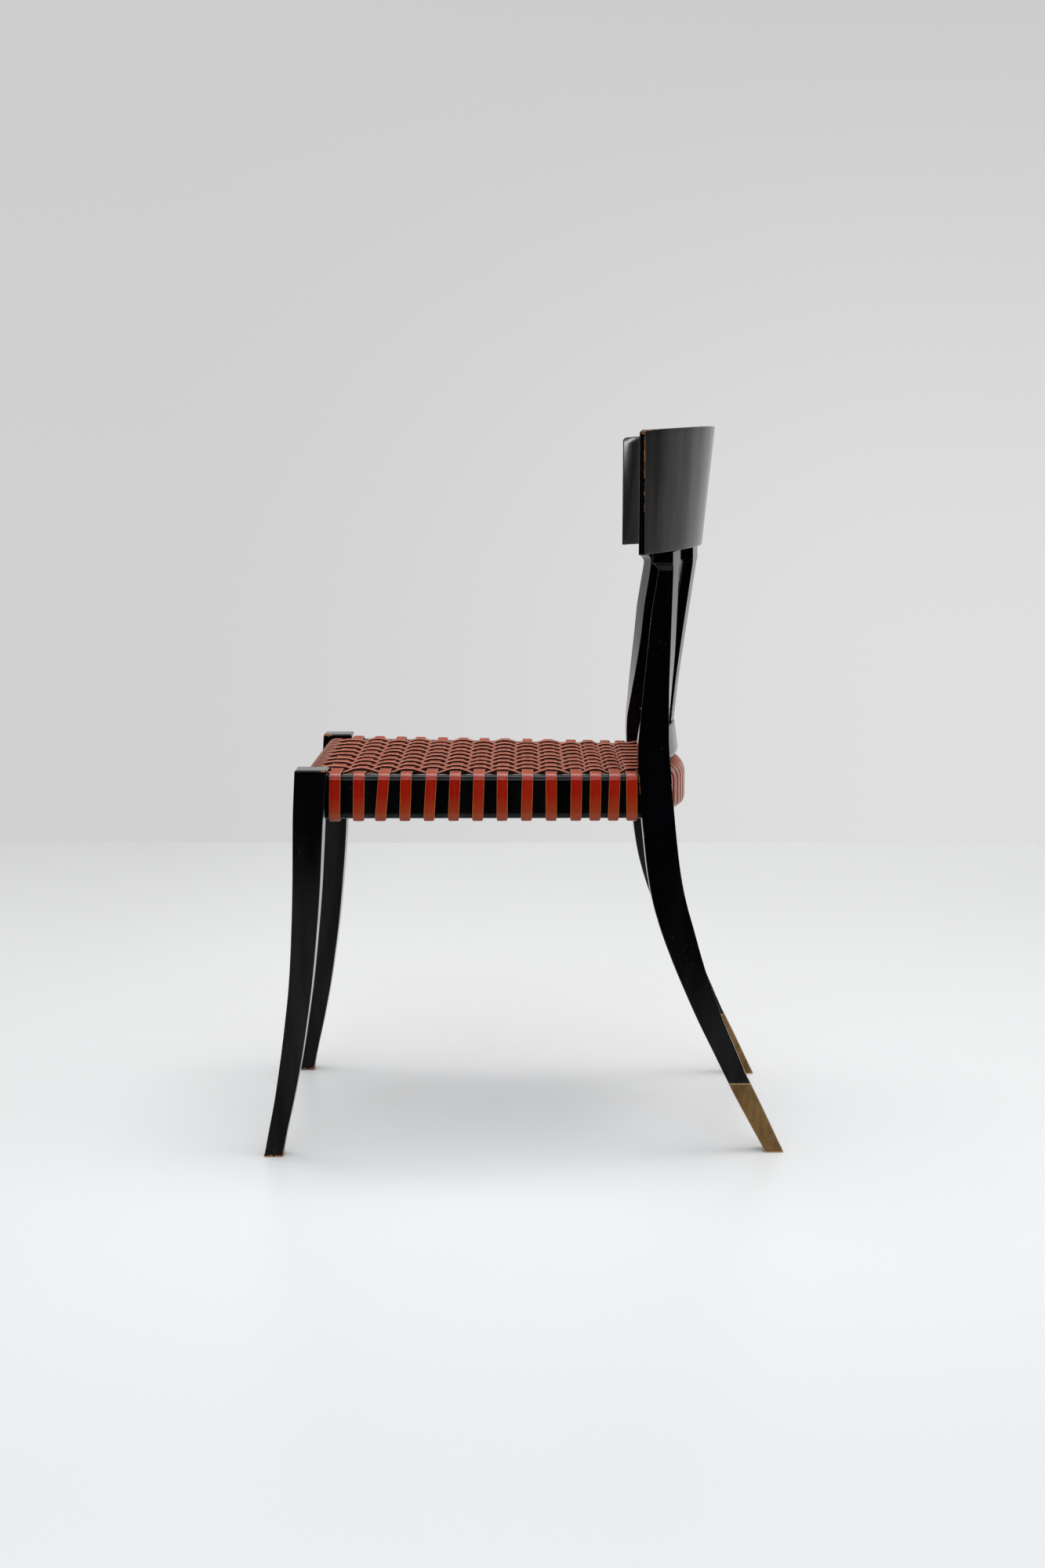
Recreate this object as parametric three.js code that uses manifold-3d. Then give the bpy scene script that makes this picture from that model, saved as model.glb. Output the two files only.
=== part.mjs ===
// Klismos chair: lacquered sabre-leg frame, bowed crest rail, woven strap seat, brass rear sabots.
// Millimetres, +Z up. The sitter faces -X. The origin lies on the floor under the middle of the chair.

import * as THREE from 'three';
import Module from 'manifold-3d';

const wasm = await Module();
wasm.setup();

// Clearances and facets
const fitGap = 0.3;
const cutOverrun = 12;
const cornerSteps = 3;
const quarterTurn = Math.PI / 2;
const fullTurn = Math.PI * 2;
const sides = { left: -1, right: 1 };

// Frame sizes
const overallDepth = 626.4;
const frontWidth = 500;
const heelWidth = 456;
const stileTopWidth = 386;
const frontLegHeight = 466;
const railTopDrop = 7.4;
const railHeight = 52;
const crestHeight = 146;
const backHeight = 259.9;
const railTop = frontLegHeight - railTopDrop;
const railBottom = railTop - railHeight;
const crestBottom = railTop + backHeight;
const crestTop = crestBottom + crestHeight;

// Front leg: the toe sweeps forward of the post
const toeX = -overallDepth / 2;
const frontLegSweep = 40.8;
const frontLegDepth = 40.4;
const toeDepth = 24;
const frontLegWidth = 50;
const toeWidth = 28;
const frontLegEdge = 1.6;
const frontLegTopRound = 2.2;
// height, place of the front edge, depth and width, as shares of the sizes above
const frontLegShares = [
  [0, 0, 0, 0], [0.072, 0.157, 0.01, 0.06], [0.146, 0.321, 0.07, 0.12], [0.253, 0.507, 0.2, 0.2],
  [0.351, 0.652, 0.27, 0.32], [0.449, 0.772, 0.35, 0.46], [0.565, 0.85, 0.49, 0.64],
  [0.689, 0.902, 0.65, 0.82], [0.8, 0.922, 0.77, 0.95], [0.888, 0.94, 0.86, 1], [1, 1, 1, 0.86],
];

// Rear leg: one sabre-cut length from the heel to the head under the crest
const heelX = overallDepth / 2;
const rearLegSweep = 139.5;
const rearLegDepth = 41.5;
const rearLegWidth = 46;
const rearLegEdge = 1.6;
const stileTwist = THREE.MathUtils.degToRad(14);
// height up to the rail top, then on to the crest; place of the back edge; depth; width; twist
const rearLegShares = [
  [0, 0, 0.545, 0.6, 0], [0.117, 0.182, 0.645, 0.61, 0], [0.183, 0.288, 0.672, 0.63, 0],
  [0.256, 0.393, 0.716, 0.66, 0], [0.353, 0.528, 0.788, 0.72, 0], [0.448, 0.642, 0.87, 0.78, 0],
  [0.514, 0.71, 0.943, 0.82, 0], [0.588, 0.778, 1.014, 0.87, 0], [0.655, 0.84, 1.02, 0.9, 0],
  [0.723, 0.886, 1.01, 0.92, 0], [0.783, 0.914, 1, 0.93, 0], [0.887, 0.949, 0.996, 0.94, 0],
  [1, 0.979, 0.993, 0.95, 0], [1.126, 0.998, 0.94, 0.98, 0.04], [1.213, 1, 0.889, 1, 0.18],
  [1.379, 1, 0.795, 1, 0.52], [1.543, 0.992, 0.718, 0.95, 0.78], [1.701, 0.983, 0.655, 0.89, 0.9],
  [1.8, 0.977, 0.583, 0.86, 0.96], [1.929, 0.97, 0.482, 0.81, 1], [2.04, 0.967, 0.46, 0.8, 1],
];

// Moulded head of a stile, under the crest
const headDepthGrowth = 5;
const headSideGrowth = 6;
const headDrop = 11;
const headCove = 8.5;
const slatHeadSideGrowth = 5;
const slatHeadDrop = 8.5;
const slatHeadCove = 6;
// place down the cove from the head, and how much of the head's growth is left there
const coveShares = [[0, 1], [0.12, 0.68], [0.3, 0.4], [0.55, 0.15], [1, 0]];

// Brass sabots
const sabotHeight = 84;
const sabotWall = 2;
const sabotFloor = 3;
const sabotPinDiameter = 3;
const sabotPinLength = 11;
const sabotPinHeight = 62;
const sabotPinFacets = 12;

// Seat rails
const frontRailRecess = 13.5;
const sideRailRecess = 14;
const frontRailThickness = 24;
const sideRailThickness = 24;
const sideRailRearWidth = 406;
const railTopRound = 8;
const railBottomRound = 6;
const sideRailFall = 3.6;
const frontRailInnerRound = 12;
const backRailThickness = 26;
const backRailBow = 34;
const backRailReach = 113.2;
const backRailTopRound = 18;
const backRailInnerRound = 7;
const bowedRailSteps = 14;
const shoulderOverrun = 4;

// Lower rail of the back
const lowerRailHeight = 41;
const lowerRailRise = 7.7;
const lowerRailThickness = 20;
const lowerRailBow = 22;
const lowerRailReach = 118.5;
const lowerRailTilt = 5;
const lowerRailRound = 2;
const lowerRailSoftRound = 8;

// Tenons
const tenonThickness = 10;
const tenonHeight = 34;
const sideTenonLength = 18;
const crossTenonLength = 13;
const lowerTenonThickness = 8;
const lowerTenonHeight = 26;
const crestTenonThickness = 3;
const crestTenonWidth = 14;
const crestTenonLength = 9;
const crestTenonShare = 0.7;
const footTenonThickness = 6;
const footTenonWidth = 14;
const footTenonLength = 13;

// Crest rail
const crestWidth = 536;
const crestReach = 89.7;
const crestRadiusBottom = 469.52;
const crestRadiusTop = 409.12;
const crestLean = 15.8;
const crestThickness = 13;
const crestEndThickness = 9.5;
const crestArchBottom = 7.5;
const crestArchTop = 9.4;
const crestEdge = 1.6;
const crestEndRound = 6;
const crestSteps = 24;

// Slats between the stiles
const slatSpacing = 124;
const slatWidthTop = 37;
const slatWidthBottom = 27;
const slatThickness = 13;
const slatTwist = THREE.MathUtils.degToRad(10.6);
const slatEdge = 1.2;
const slatFootReach = 131;
const slatLean = 27.5;
const slatLeanShares = [[0, 0], [0.25, 0.2], [0.5, 0.457], [0.75, 0.727], [1, 1]];

// Seat straps: flat ones run across, woven ones run from front to back
const strapWidth = 13.2;
const strapThickness = 3;
const strapUnderlap = 19;
const strapLegGap = 0.6;
const weaveGap = 0.35;
const weaveEase = 0.5;
const weaveDip = 2;
const longStrapCount = 17;
const longStrapFrontHalf = 187;
// places of the cross straps, from the one behind the posts to the one before the stiles
const crossStrapShares = [0, 0.08, 0.164, 0.238, 0.323, 0.403, 0.483, 0.562, 0.647, 0.727, 0.813, 0.878,
  0.943, 1];
// depth into a rail's inner round, where a long strap bends to it
const edgeShares = [0.3, 0.6];
// place from the first to the last cross strap, and how wide the fan of long straps is there
const fanShares = [[0, 1], [0.07, 0.99], [0.68, 0.952], [0.93, 0.88], [1, 0.835], [1.1, 0.805]];

// Corner blocks and their screws
const blockLeg = 52;
const rearBlockLeg = 38;
const blockHeight = 28;
const blockDrop = 18;
const screwShank = 4;
const screwHead = 8;
const screwHeadHeight = 2.4;
const screwLength = 22;
const screwBite = 11;
const screwSetback = 25;
const rearScrewSetback = 17;
const screwFacets = 10;

// Finishes
const lacquer = () => new THREE.MeshStandardMaterial({ color: 0x0b0b0d, roughness: 0.22, metalness: 0 });
const leather = () => new THREE.MeshStandardMaterial({ color: 0x8a2a12, roughness: 0.45, metalness: 0 });
const brass = () => new THREE.MeshStandardMaterial({ color: 0x7d5a2c, roughness: 0.42, metalness: 1 });
const beech = () => new THREE.MeshStandardMaterial({ color: 0x8c6a45, roughness: 0.7, metalness: 0 });
const steel = () => new THREE.MeshStandardMaterial({ color: 0x77756f, roughness: 0.4, metalness: 1 });

const chair = new THREE.Group();

function addPiece(name, geometry, material) {
  const mesh = new THREE.Mesh(geometry, material);
  mesh.name = name;
  chair.add(mesh);
}

// Smooth value of a column of a table, at a place given in the table's first column
function tableValue(table, place, column) {
  const last = table.length - 1;
  let i = 0;
  while (i < last - 1 && place > table[i + 1][0]) i += 1;
  const slope = (k) => {
    const a = table[Math.max(k - 1, 0)];
    const b = table[Math.min(k + 1, last)];
    return (b[column] - a[column]) / (b[0] - a[0]);
  };
  const step = table[i + 1][0] - table[i][0];
  const t = THREE.MathUtils.clamp((place - table[i][0]) / step, 0, 1);
  const t2 = t * t;
  const t3 = t2 * t;
  return (2 * t3 - 3 * t2 + 1) * table[i][column] + (t3 - 2 * t2 + t) * step * slope(i)
    + (3 * t2 - 2 * t3) * table[i + 1][column] + (t3 - t2) * step * slope(i + 1);
}

// Closed skin through rings of points, flat-capped at both ends, facing outwards
function loft(rings) {
  const count = rings[0].length;
  const positions = rings.flat().flatMap((p) => [p.x, p.y, p.z]);
  const index = [];
  for (let r = 0; r < rings.length - 1; r += 1) {
    for (let k = 0; k < count; k += 1) {
      const a = r * count + k;
      const b = r * count + ((k + 1) % count);
      index.push(a, b, b + count, a, b + count, a + count);
    }
  }
  const top = (rings.length - 1) * count;
  for (let k = 1; k < count - 1; k += 1) {
    index.push(0, k + 1, k);
    index.push(top, top + k, top + k + 1);
  }
  const geometry = new THREE.BufferGeometry();
  geometry.setAttribute('position', new THREE.Float32BufferAttribute(positions, 3));
  geometry.setIndex(index);
  if (signedVolume(geometry) < 0) {
    for (let i = 0; i < index.length; i += 3) [index[i], index[i + 1]] = [index[i + 1], index[i]];
    geometry.setIndex(index);
  }
  return geometry;
}

function signedVolume(geometry) {
  const p = geometry.getAttribute('position');
  const index = geometry.getIndex().array;
  const corner = (i) => new THREE.Vector3().fromBufferAttribute(p, index[i]);
  let volume = 0;
  for (let i = 0; i < index.length; i += 3) {
    volume += corner(i).dot(corner(i + 1).cross(corner(i + 2))) / 6;
  }
  return volume;
}

function toSolid(geometry) {
  const vertProperties = new Float32Array(geometry.getAttribute('position').array);
  const triVerts = new Uint32Array(geometry.getIndex().array);
  return new wasm.Manifold(new wasm.Mesh({ numProp: 3, vertProperties, triVerts }));
}

function toGeometry(solid) {
  const mesh = solid.getMesh();
  const positions = [];
  for (let v = 0; v < mesh.numVert; v += 1) {
    for (let k = 0; k < 3; k += 1) positions.push(mesh.vertProperties[v * mesh.numProp + k]);
  }
  const geometry = new THREE.BufferGeometry();
  geometry.setAttribute('position', new THREE.Float32BufferAttribute(positions, 3));
  geometry.setIndex(Array.from(mesh.triVerts));
  return geometry;
}

const point = (x, y, z) => new THREE.Vector3(x, y, z);

// Ring with each corner cut back by the same edge
function cutCorners(corners, edge) {
  const ring = [];
  corners.forEach((corner, k) => {
    const before = corners[(k + corners.length - 1) % corners.length];
    const after = corners[(k + 1) % corners.length];
    ring.push(corner.clone().add(before.clone().sub(corner).setLength(edge)));
    ring.push(corner.clone().add(after.clone().sub(corner).setLength(edge)));
  });
  return ring;
}

// Outline in a plane of a rectangle with four rounds, from the lowest corner on, as [across, up]
function roundedOutline(a0, a1, z0, z1, rounds) {
  const centres = [[a0, z0, 1, 1], [a1, z0, -1, 1], [a1, z1, -1, -1], [a0, z1, 1, -1]];
  const outline = [];
  centres.forEach(([a, z, da, dz], k) => {
    const radius = rounds[k];
    const start = quarterTurn * (k + 2);
    for (let s = 0; s <= cornerSteps; s += 1) {
      const turn = start + (quarterTurn * s) / cornerSteps;
      outline.push([a + da * radius + radius * Math.cos(turn), z + dz * radius + radius * Math.sin(turn)]);
    }
  });
  return outline;
}

// Box given by a centre, half sizes along three axes and the directions of the first two
function orientedBox(centre, halfSizes, axisA, axisB) {
  const axisC = axisA.clone().cross(axisB);
  const corner = (a, b, c) => centre.clone()
    .addScaledVector(axisA, a * halfSizes[0])
    .addScaledVector(axisB, b * halfSizes[1])
    .addScaledVector(axisC, c * halfSizes[2]);
  const ring = (c) => [corner(-1, -1, c), corner(1, -1, c), corner(1, 1, c), corner(-1, 1, c)];
  return loft([ring(-1), ring(1)]);
}

const grown = (halfSizes, gap) => halfSizes.map((half) => half + gap);
const alongX = point(1, 0, 0);
const alongY = point(0, 1, 0);
const upward = point(0, 0, 1);

// Front leg

function frontLegSection(height, grow) {
  const share = THREE.MathUtils.clamp(height / frontLegHeight, 0, 1);
  const front = toeX + frontLegSweep * tableValue(frontLegShares, share, 1);
  const depth = toeDepth + (frontLegDepth - toeDepth) * tableValue(frontLegShares, share, 2);
  const width = toeWidth + (frontLegWidth - toeWidth) * tableValue(frontLegShares, share, 3);
  return { front: front - grow, back: front + depth + grow, outer: frontWidth / 2 + grow,
    inner: frontWidth / 2 - width - grow };
}

function frontLegRing(height, side, grow) {
  const s = frontLegSection(height, grow);
  const corners = [[s.front, s.outer], [s.back, s.outer], [s.back, s.inner], [s.front, s.inner]];
  return cutCorners(corners.map(([x, y]) => point(x, side * y, height)), frontLegEdge);
}

function frontLegSkin(side, grow) {
  const rings = [];
  const rows = 20;
  const shoulder = frontLegHeight - frontLegTopRound;
  for (let i = 0; i <= rows; i += 1) rings.push(frontLegRing((shoulder * i) / rows, side, grow));
  for (let s = 1; s <= cornerSteps; s += 1) {
    const turn = (quarterTurn * s) / cornerSteps;
    const inset = frontLegTopRound * (1 - Math.cos(turn));
    const ring = frontLegRing(shoulder, side, grow - inset);
    const height = shoulder + frontLegTopRound * Math.sin(turn);
    rings.push(ring.map((p) => point(p.x, p.y, height)));
  }
  return loft(rings);
}

// Rear leg and stile

function rearLegShareAt(height) {
  return height <= railTop ? height / railTop : 1 + (height - railTop) / backHeight;
}

function headShare(height, drop, cove) {
  const below = (crestBottom - drop - height) / cove;
  return below <= 0 ? 1 : tableValue(coveShares, Math.min(below, 1), 1);
}

// Corners of the rear leg at a height: outer front, outer back, inner back, inner front
function rearLegCorners(height, side, grow) {
  const share = rearLegShareAt(height);
  const back = heelX - rearLegSweep * tableValue(rearLegShares, share, 1);
  const depth = rearLegDepth * tableValue(rearLegShares, share, 2);
  const width = rearLegWidth * tableValue(rearLegShares, share, 3);
  const twist = stileTwist * tableValue(rearLegShares, share, 4);
  const outer = THREE.MathUtils.lerp(heelWidth, stileTopWidth, height / crestBottom) / 2;
  const head = headShare(height, headDrop, headCove);
  const inward = point(Math.sin(twist), -side * Math.cos(twist), 0);
  const outerFront = point(back - depth, side * outer, height);
  const place = (toBack, toInside) => outerFront.clone()
    .addScaledVector(alongX, toBack).addScaledVector(inward, toInside);
  const frontGrow = grow + headDepthGrowth * head;
  const sideGrow = grow + headSideGrowth * head;
  return [place(-frontGrow, -sideGrow), place(depth + grow, -sideGrow),
    place(depth + grow, width + sideGrow), place(-frontGrow, width + sideGrow)];
}

function rearLegRing(height, side, grow) {
  return cutCorners(rearLegCorners(height, side, grow), rearLegEdge);
}

function rearLegHeights(from, to) {
  const heights = [from];
  const rows = 18;
  const upperRows = 13;
  for (let i = 1; i < rows; i += 1) heights.push((railTop * i) / rows);
  for (let i = 0; i < upperRows; i += 1) heights.push(railTop + (backHeight * i) / upperRows);
  for (let i = coveShares.length - 1; i >= 0; i -= 1) {
    heights.push(crestBottom - headDrop - headCove * coveShares[i][0]);
  }
  const tidy = heights.filter((h) => h >= from && h < to).sort((a, b) => a - b);
  const spaced = tidy.filter((h, i) => i === 0 || h - tidy[i - 1] > 2 * fitGap);
  return [...spaced, to];
}

function rearLegSkin(side, grow, from, to) {
  return loft(rearLegHeights(from, to).map((h) => rearLegRing(h, side, grow)));
}

function rearLegWithCore(side, top) {
  const shoulder = sabotHeight + fitGap;
  const core = [];
  const rows = 4;
  for (let i = 0; i <= rows; i += 1) {
    const height = THREE.MathUtils.lerp(sabotFloor + fitGap, shoulder, i / rows);
    core.push(rearLegRing(height, side, -(sabotWall + fitGap)));
  }
  const above = rearLegHeights(shoulder, top).map((h) => rearLegRing(h, side, 0));
  return loft([...core, ...above]);
}

function sabot(side) {
  const rows = 5;
  const outside = [];
  const inside = [];
  for (let i = 0; i <= rows; i += 1) {
    outside.push(rearLegRing((sabotHeight * i) / rows, side, 0));
    const depth = THREE.MathUtils.lerp(sabotHeight, sabotFloor, i / rows);
    inside.push(rearLegRing(depth, side, -sabotWall));
  }
  return loft([...outside, ...inside]);
}

// Pin that holds a sabot, driven in square to the inner face of the heel
function sabotPin(side, grow) {
  const corners = rearLegCorners(sabotPinHeight, side, 0);
  const face = corners[2].clone().add(corners[3]).multiplyScalar(0.5);
  const radius = sabotPinDiameter / 2 + grow;
  const ring = (y) => {
    const points = [];
    for (let k = 0; k < sabotPinFacets; k += 1) {
      const turn = (fullTurn * k) / sabotPinFacets;
      points.push(point(face.x + radius * Math.cos(turn), y, sabotPinHeight + radius * Math.sin(turn)));
    }
    return points;
  };
  return loft([ring(face.y - side * grow), ring(face.y + side * (sabotPinLength + grow))]);
}

// Crest rail: the curve and the lean are given for its outer face

// Distance that an arc falls short of its crown at a place across the chair
function arcFall(y, radius) {
  return radius - Math.sqrt(radius * radius - y * y);
}

// Point of the crest, from -1 at one end to 1 at the other, at a share of its height and thickness
function crestPoint(along, up, through) {
  const radius = THREE.MathUtils.lerp(crestRadiusBottom, crestRadiusTop, up);
  const turn = along * Math.asin(crestWidth / 2 / radius);
  const thickness = THREE.MathUtils.lerp(crestThickness, crestEndThickness, along * along);
  const crown = heelX - crestReach + crestLean * up;
  const reach = radius - thickness * through;
  const y = reach * Math.sin(turn);
  const z = crestBottom + crestHeight * up + crestArch(y, up);
  return point(crown - radius + reach * Math.cos(turn), y, z);
}

// Rise of the crest's lower or upper edge at a place across the chair
function crestArch(y, up) {
  const share = y / (crestWidth / 2);
  return THREE.MathUtils.lerp(crestArchBottom, crestArchTop, up) * (1 - share * share);
}

function crestEndDrop(fromEnd) {
  if (fromEnd >= crestEndRound) return 0;
  const rest = crestEndRound - fromEnd;
  return crestEndRound - Math.sqrt(crestEndRound * crestEndRound - rest * rest);
}

function crestSkin() {
  const half = crestWidth / 2;
  const places = [];
  for (let i = 0; i <= crestSteps; i += 1) places.push(-1 + (2 * i) / crestSteps);
  const roundShares = [0.04, 0.13, 0.32, 1];
  roundShares.forEach((share) => {
    const place = 1 - (crestEndRound * share) / half;
    places.push(place, -place);
  });
  places.sort((a, b) => a - b);
  const rings = places.map((along) => {
    const drop = crestEndDrop((1 - Math.abs(along)) * half) / crestHeight;
    const ups = [0, 0, 1 - drop, 1 - drop];
    const throughs = [0, 1, 1, 0];
    return cutCorners(ups.map((up, k) => crestPoint(along, up, throughs[k])), crestEdge);
  });
  return loft(rings);
}

// Space above the crest's lower edge, which trims whatever stands under the crest
function crestCeiling() {
  const rings = [];
  for (let i = 0; i <= crestSteps; i += 1) {
    const along = -1 + (2 * i) / crestSteps;
    const y = (along * crestWidth) / 2;
    const z = crestBottom + crestArch(y, 0) - fitGap;
    const front = heelX - crestReach - arcFall(y, crestRadiusBottom) - rearLegDepth - cutOverrun;
    const back = heelX - crestReach + cutOverrun;
    const top = crestTop + cutOverrun;
    rings.push([point(front, y, z), point(back, y, z), point(back, y, top), point(front, y, top)]);
  }
  return loft(rings);
}

// Short tenon that rises from a head into the crest, turned with the crest
function crestTenon(y, gap) {
  const share = y / (crestWidth / 2);
  const thickness = THREE.MathUtils.lerp(crestThickness, crestEndThickness, share * share);
  const reach = crestRadiusBottom - crestTenonShare * thickness;
  const turn = Math.asin(y / reach);
  const x = heelX - crestReach - crestRadiusBottom + reach * Math.cos(turn);
  const across = point(Math.cos(turn), Math.sin(turn), 0);
  const along = point(-Math.sin(turn), Math.cos(turn), 0);
  const sizes = grown([crestTenonThickness / 2, crestTenonWidth / 2, crestTenonLength], gap);
  return orientedBox(point(x, y, crestBottom + crestArch(y, 0)), sizes, across, along);
}

// Slats of the back

function slatCorners(height, side, grow) {
  const share = (height - slatFoot) / (crestBottom - slatFoot);
  const width = THREE.MathUtils.lerp(slatWidthBottom, slatWidthTop, share);
  const back = heelX - slatFootReach + slatLean * tableValue(slatLeanShares, share, 1);
  const head = slatHeadSideGrowth * headShare(height, slatHeadDrop, slatHeadCove);
  const rearward = point(Math.cos(slatTwist), side * Math.sin(slatTwist), 0);
  const inward = point(Math.sin(slatTwist), -side * Math.cos(slatTwist), 0);
  const outerBack = point(back, (side * (slatSpacing + width)) / 2, height);
  const place = (toBack, toInside) => outerBack.clone()
    .addScaledVector(rearward, toBack).addScaledVector(inward, toInside);
  return [place(-slatThickness - head - grow, -head - grow), place(grow, -head - grow),
    place(grow, width + head + grow), place(-slatThickness - head - grow, width + head + grow)];
}

const lowerRailBottom = railTop + lowerRailRise;
const lowerRailTop = lowerRailBottom + lowerRailHeight;
const slatFoot = lowerRailTop;

function slatSkin(side) {
  const rows = 8;
  const heights = [];
  const neck = crestBottom - slatHeadDrop - slatHeadCove;
  for (let i = 0; i < rows; i += 1) heights.push(THREE.MathUtils.lerp(slatFoot + fitGap, neck, i / rows));
  for (let i = coveShares.length - 1; i >= 0; i -= 1) {
    heights.push(crestBottom - slatHeadDrop - slatHeadCove * coveShares[i][0]);
  }
  heights.push(crestBottom + crestArchBottom + cutOverrun);
  return loft(heights.map((h) => cutCorners(slatCorners(h, side, 0), slatEdge)));
}

function slatFootTenon(side, gap) {
  const corners = slatCorners(slatFoot, side, 0);
  const centre = corners[0].clone().add(corners[2]).multiplyScalar(0.5);
  const rearward = point(Math.cos(slatTwist), side * Math.sin(slatTwist), 0);
  const inward = point(-Math.sin(slatTwist), side * Math.cos(slatTwist), 0);
  const sizes = grown([footTenonThickness / 2, footTenonWidth / 2, footTenonLength], gap);
  return orientedBox(centre, sizes, rearward, inward);
}

// Rails that bow to the rear between the rear legs

// Distance that a bowed rail falls forward of its crown at a place across the chair
function bowFall(y, bow, halfSpan) {
  return arcFall(y, (halfSpan * halfSpan + bow * bow) / (2 * bow));
}

const rearClearHalf = rearLegCorners(railTop, sides.right, 0)[2].y;
const backRailCrown = heelX - backRailReach;
const lowerRailCrown = heelX - lowerRailReach;
const backRailFace = (y) => backRailCrown - bowFall(y, backRailBow, rearClearHalf);

function bowedRail(crown, bow, outline) {
  const rings = [];
  const half = rearClearHalf + shoulderOverrun;
  for (let i = 0; i <= bowedRailSteps; i += 1) {
    const y = THREE.MathUtils.lerp(-half, half, i / bowedRailSteps);
    const face = crown - bowFall(y, bow, rearClearHalf);
    rings.push(outline.map(([a, z]) => point(face + a, y, z)));
  }
  return loft(rings);
}

function backRailSkin(grow) {
  const rounds = [railBottomRound, railBottomRound, backRailTopRound, backRailInnerRound];
  return bowedRail(backRailCrown, backRailBow,
    roundedOutline(-backRailThickness - grow, grow, railBottom - grow, railTop + grow, rounds));
}

function lowerRailSkin() {
  const rounds = [lowerRailRound, lowerRailSoftRound, lowerRailRound, lowerRailRound];
  const outline = roundedOutline(-lowerRailThickness, 0, lowerRailBottom, lowerRailTop, rounds);
  const tilt = (z) => (lowerRailTilt * (z - lowerRailBottom)) / lowerRailHeight;
  return bowedRail(lowerRailCrown, lowerRailBow, outline.map(([a, z]) => [a - tilt(z), z]));
}

// Tenon at the middle of a bowed rail's thickness, square into the inner face of the rear leg
function bowedTenon(crown, bow, railThickness, side, halfSizes, middle) {
  const x = crown - bow - railThickness / 2;
  return orientedBox(point(x, side * rearClearHalf, middle), halfSizes, alongX, alongY);
}

const railMiddle = (railTop + railBottom) / 2;

function backTenon(side, gap) {
  const halfSizes = grown([tenonThickness / 2, crossTenonLength, tenonHeight / 2], gap);
  return bowedTenon(backRailCrown, backRailBow, backRailThickness, side, halfSizes, railMiddle);
}

function lowerTenon(side, gap) {
  const halfSizes = grown([lowerTenonThickness / 2, crossTenonLength, lowerTenonHeight / 2], gap);
  const middle = (lowerRailBottom + lowerRailTop) / 2;
  return bowedTenon(lowerRailCrown - lowerRailTilt / 2, lowerRailBow, lowerRailThickness, side,
    halfSizes, middle);
}

// Straight rails

const frontLegAtRail = frontLegSection(railMiddle, 0);
const rearLegAtRail = rearLegCorners(railMiddle, sides.right, 0);
const frontRailFace = frontLegAtRail.front + frontRailRecess;
const frontRailInner = frontRailFace + frontRailThickness;
const sideRailFrontX = frontLegAtRail.back;
const sideRailRearX = rearLegAtRail[0].x;

function frontRailSkin(grow) {
  const rounds = [railBottomRound, railBottomRound, frontRailInnerRound, railTopRound];
  const outline = roundedOutline(frontRailFace - grow, frontRailInner + grow, railBottom - grow,
    railTop + grow, rounds);
  const half = frontLegAtRail.inner + crossTenonLength;
  return loft([-half, half].map((y) => outline.map(([a, z]) => point(a, y, z))));
}

function frontTenon(side, gap) {
  const x = (frontRailFace + frontRailInner) / 2;
  const halfSizes = grown([tenonThickness / 2, crossTenonLength, tenonHeight / 2], gap);
  return orientedBox(point(x, side * frontLegAtRail.inner, railMiddle), halfSizes, alongX, alongY);
}

// Outer face of the side rail, which draws in towards the rear
function sideRailFace(x) {
  const share = (x - sideRailFrontX) / (sideRailRearX - sideRailFrontX);
  return THREE.MathUtils.lerp(frontWidth / 2 - sideRailRecess, sideRailRearWidth / 2, share);
}

const sideRailInner = (x) => sideRailFace(x) - sideRailThickness;

// Drop of the side rail below the height of its front end
function railFall(x) {
  return (sideRailFall * (x - sideRailFrontX)) / (sideRailRearX - sideRailFrontX);
}

function sideRailSkin(side, grow) {
  const rounds = [railBottomRound, railBottomRound, railTopRound, railTopRound];
  const ring = (x) => roundedOutline(sideRailInner(x) - grow, sideRailFace(x) + grow,
    railBottom - grow, railTop + grow, rounds).map(([a, z]) => point(x, side * a, z - railFall(x)));
  return loft([ring(sideRailFrontX - sideTenonLength), ring(sideRailRearX + sideTenonLength)]);
}

function sideTenon(x, side, gap) {
  const middle = sideRailFace(x) - sideRailThickness / 2;
  const run = point(sideRailRearX - sideRailFrontX,
    side * (sideRailFace(sideRailRearX) - sideRailFace(sideRailFrontX)), 0).normalize();
  const across = point(-run.y, run.x, 0);
  const halfSizes = grown([sideTenonLength, tenonThickness / 2, tenonHeight / 2], gap);
  return orientedBox(point(x, side * middle, railMiddle), halfSizes, run, across);
}

// Corner blocks, cut to the leg and the rails that they brace

const blockTop = railTop - blockDrop;
const blockMiddle = blockTop - blockHeight / 2;
const rearLegInner = rearLegAtRail[3].y;

function prism(corners, side) {
  const ring = (z) => corners.map(([x, y]) => point(x, side * y, z));
  return loft([ring(blockTop - blockHeight), ring(blockTop)]);
}

function frontBlock(side) {
  const sideEnd = frontRailInner + blockLeg;
  const crossEnd = sideRailInner(frontRailInner) - blockLeg;
  const railCore = frontRailInner - frontRailThickness / 2;
  const corners = [[railCore, crossEnd], [frontRailInner, crossEnd], [sideEnd, sideRailInner(sideEnd)],
    [sideEnd, sideRailInner(sideEnd) + sideRailThickness / 2],
    [railCore, sideRailInner(railCore) + sideRailThickness / 2]];
  return prism(corners, side);
}

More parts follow.
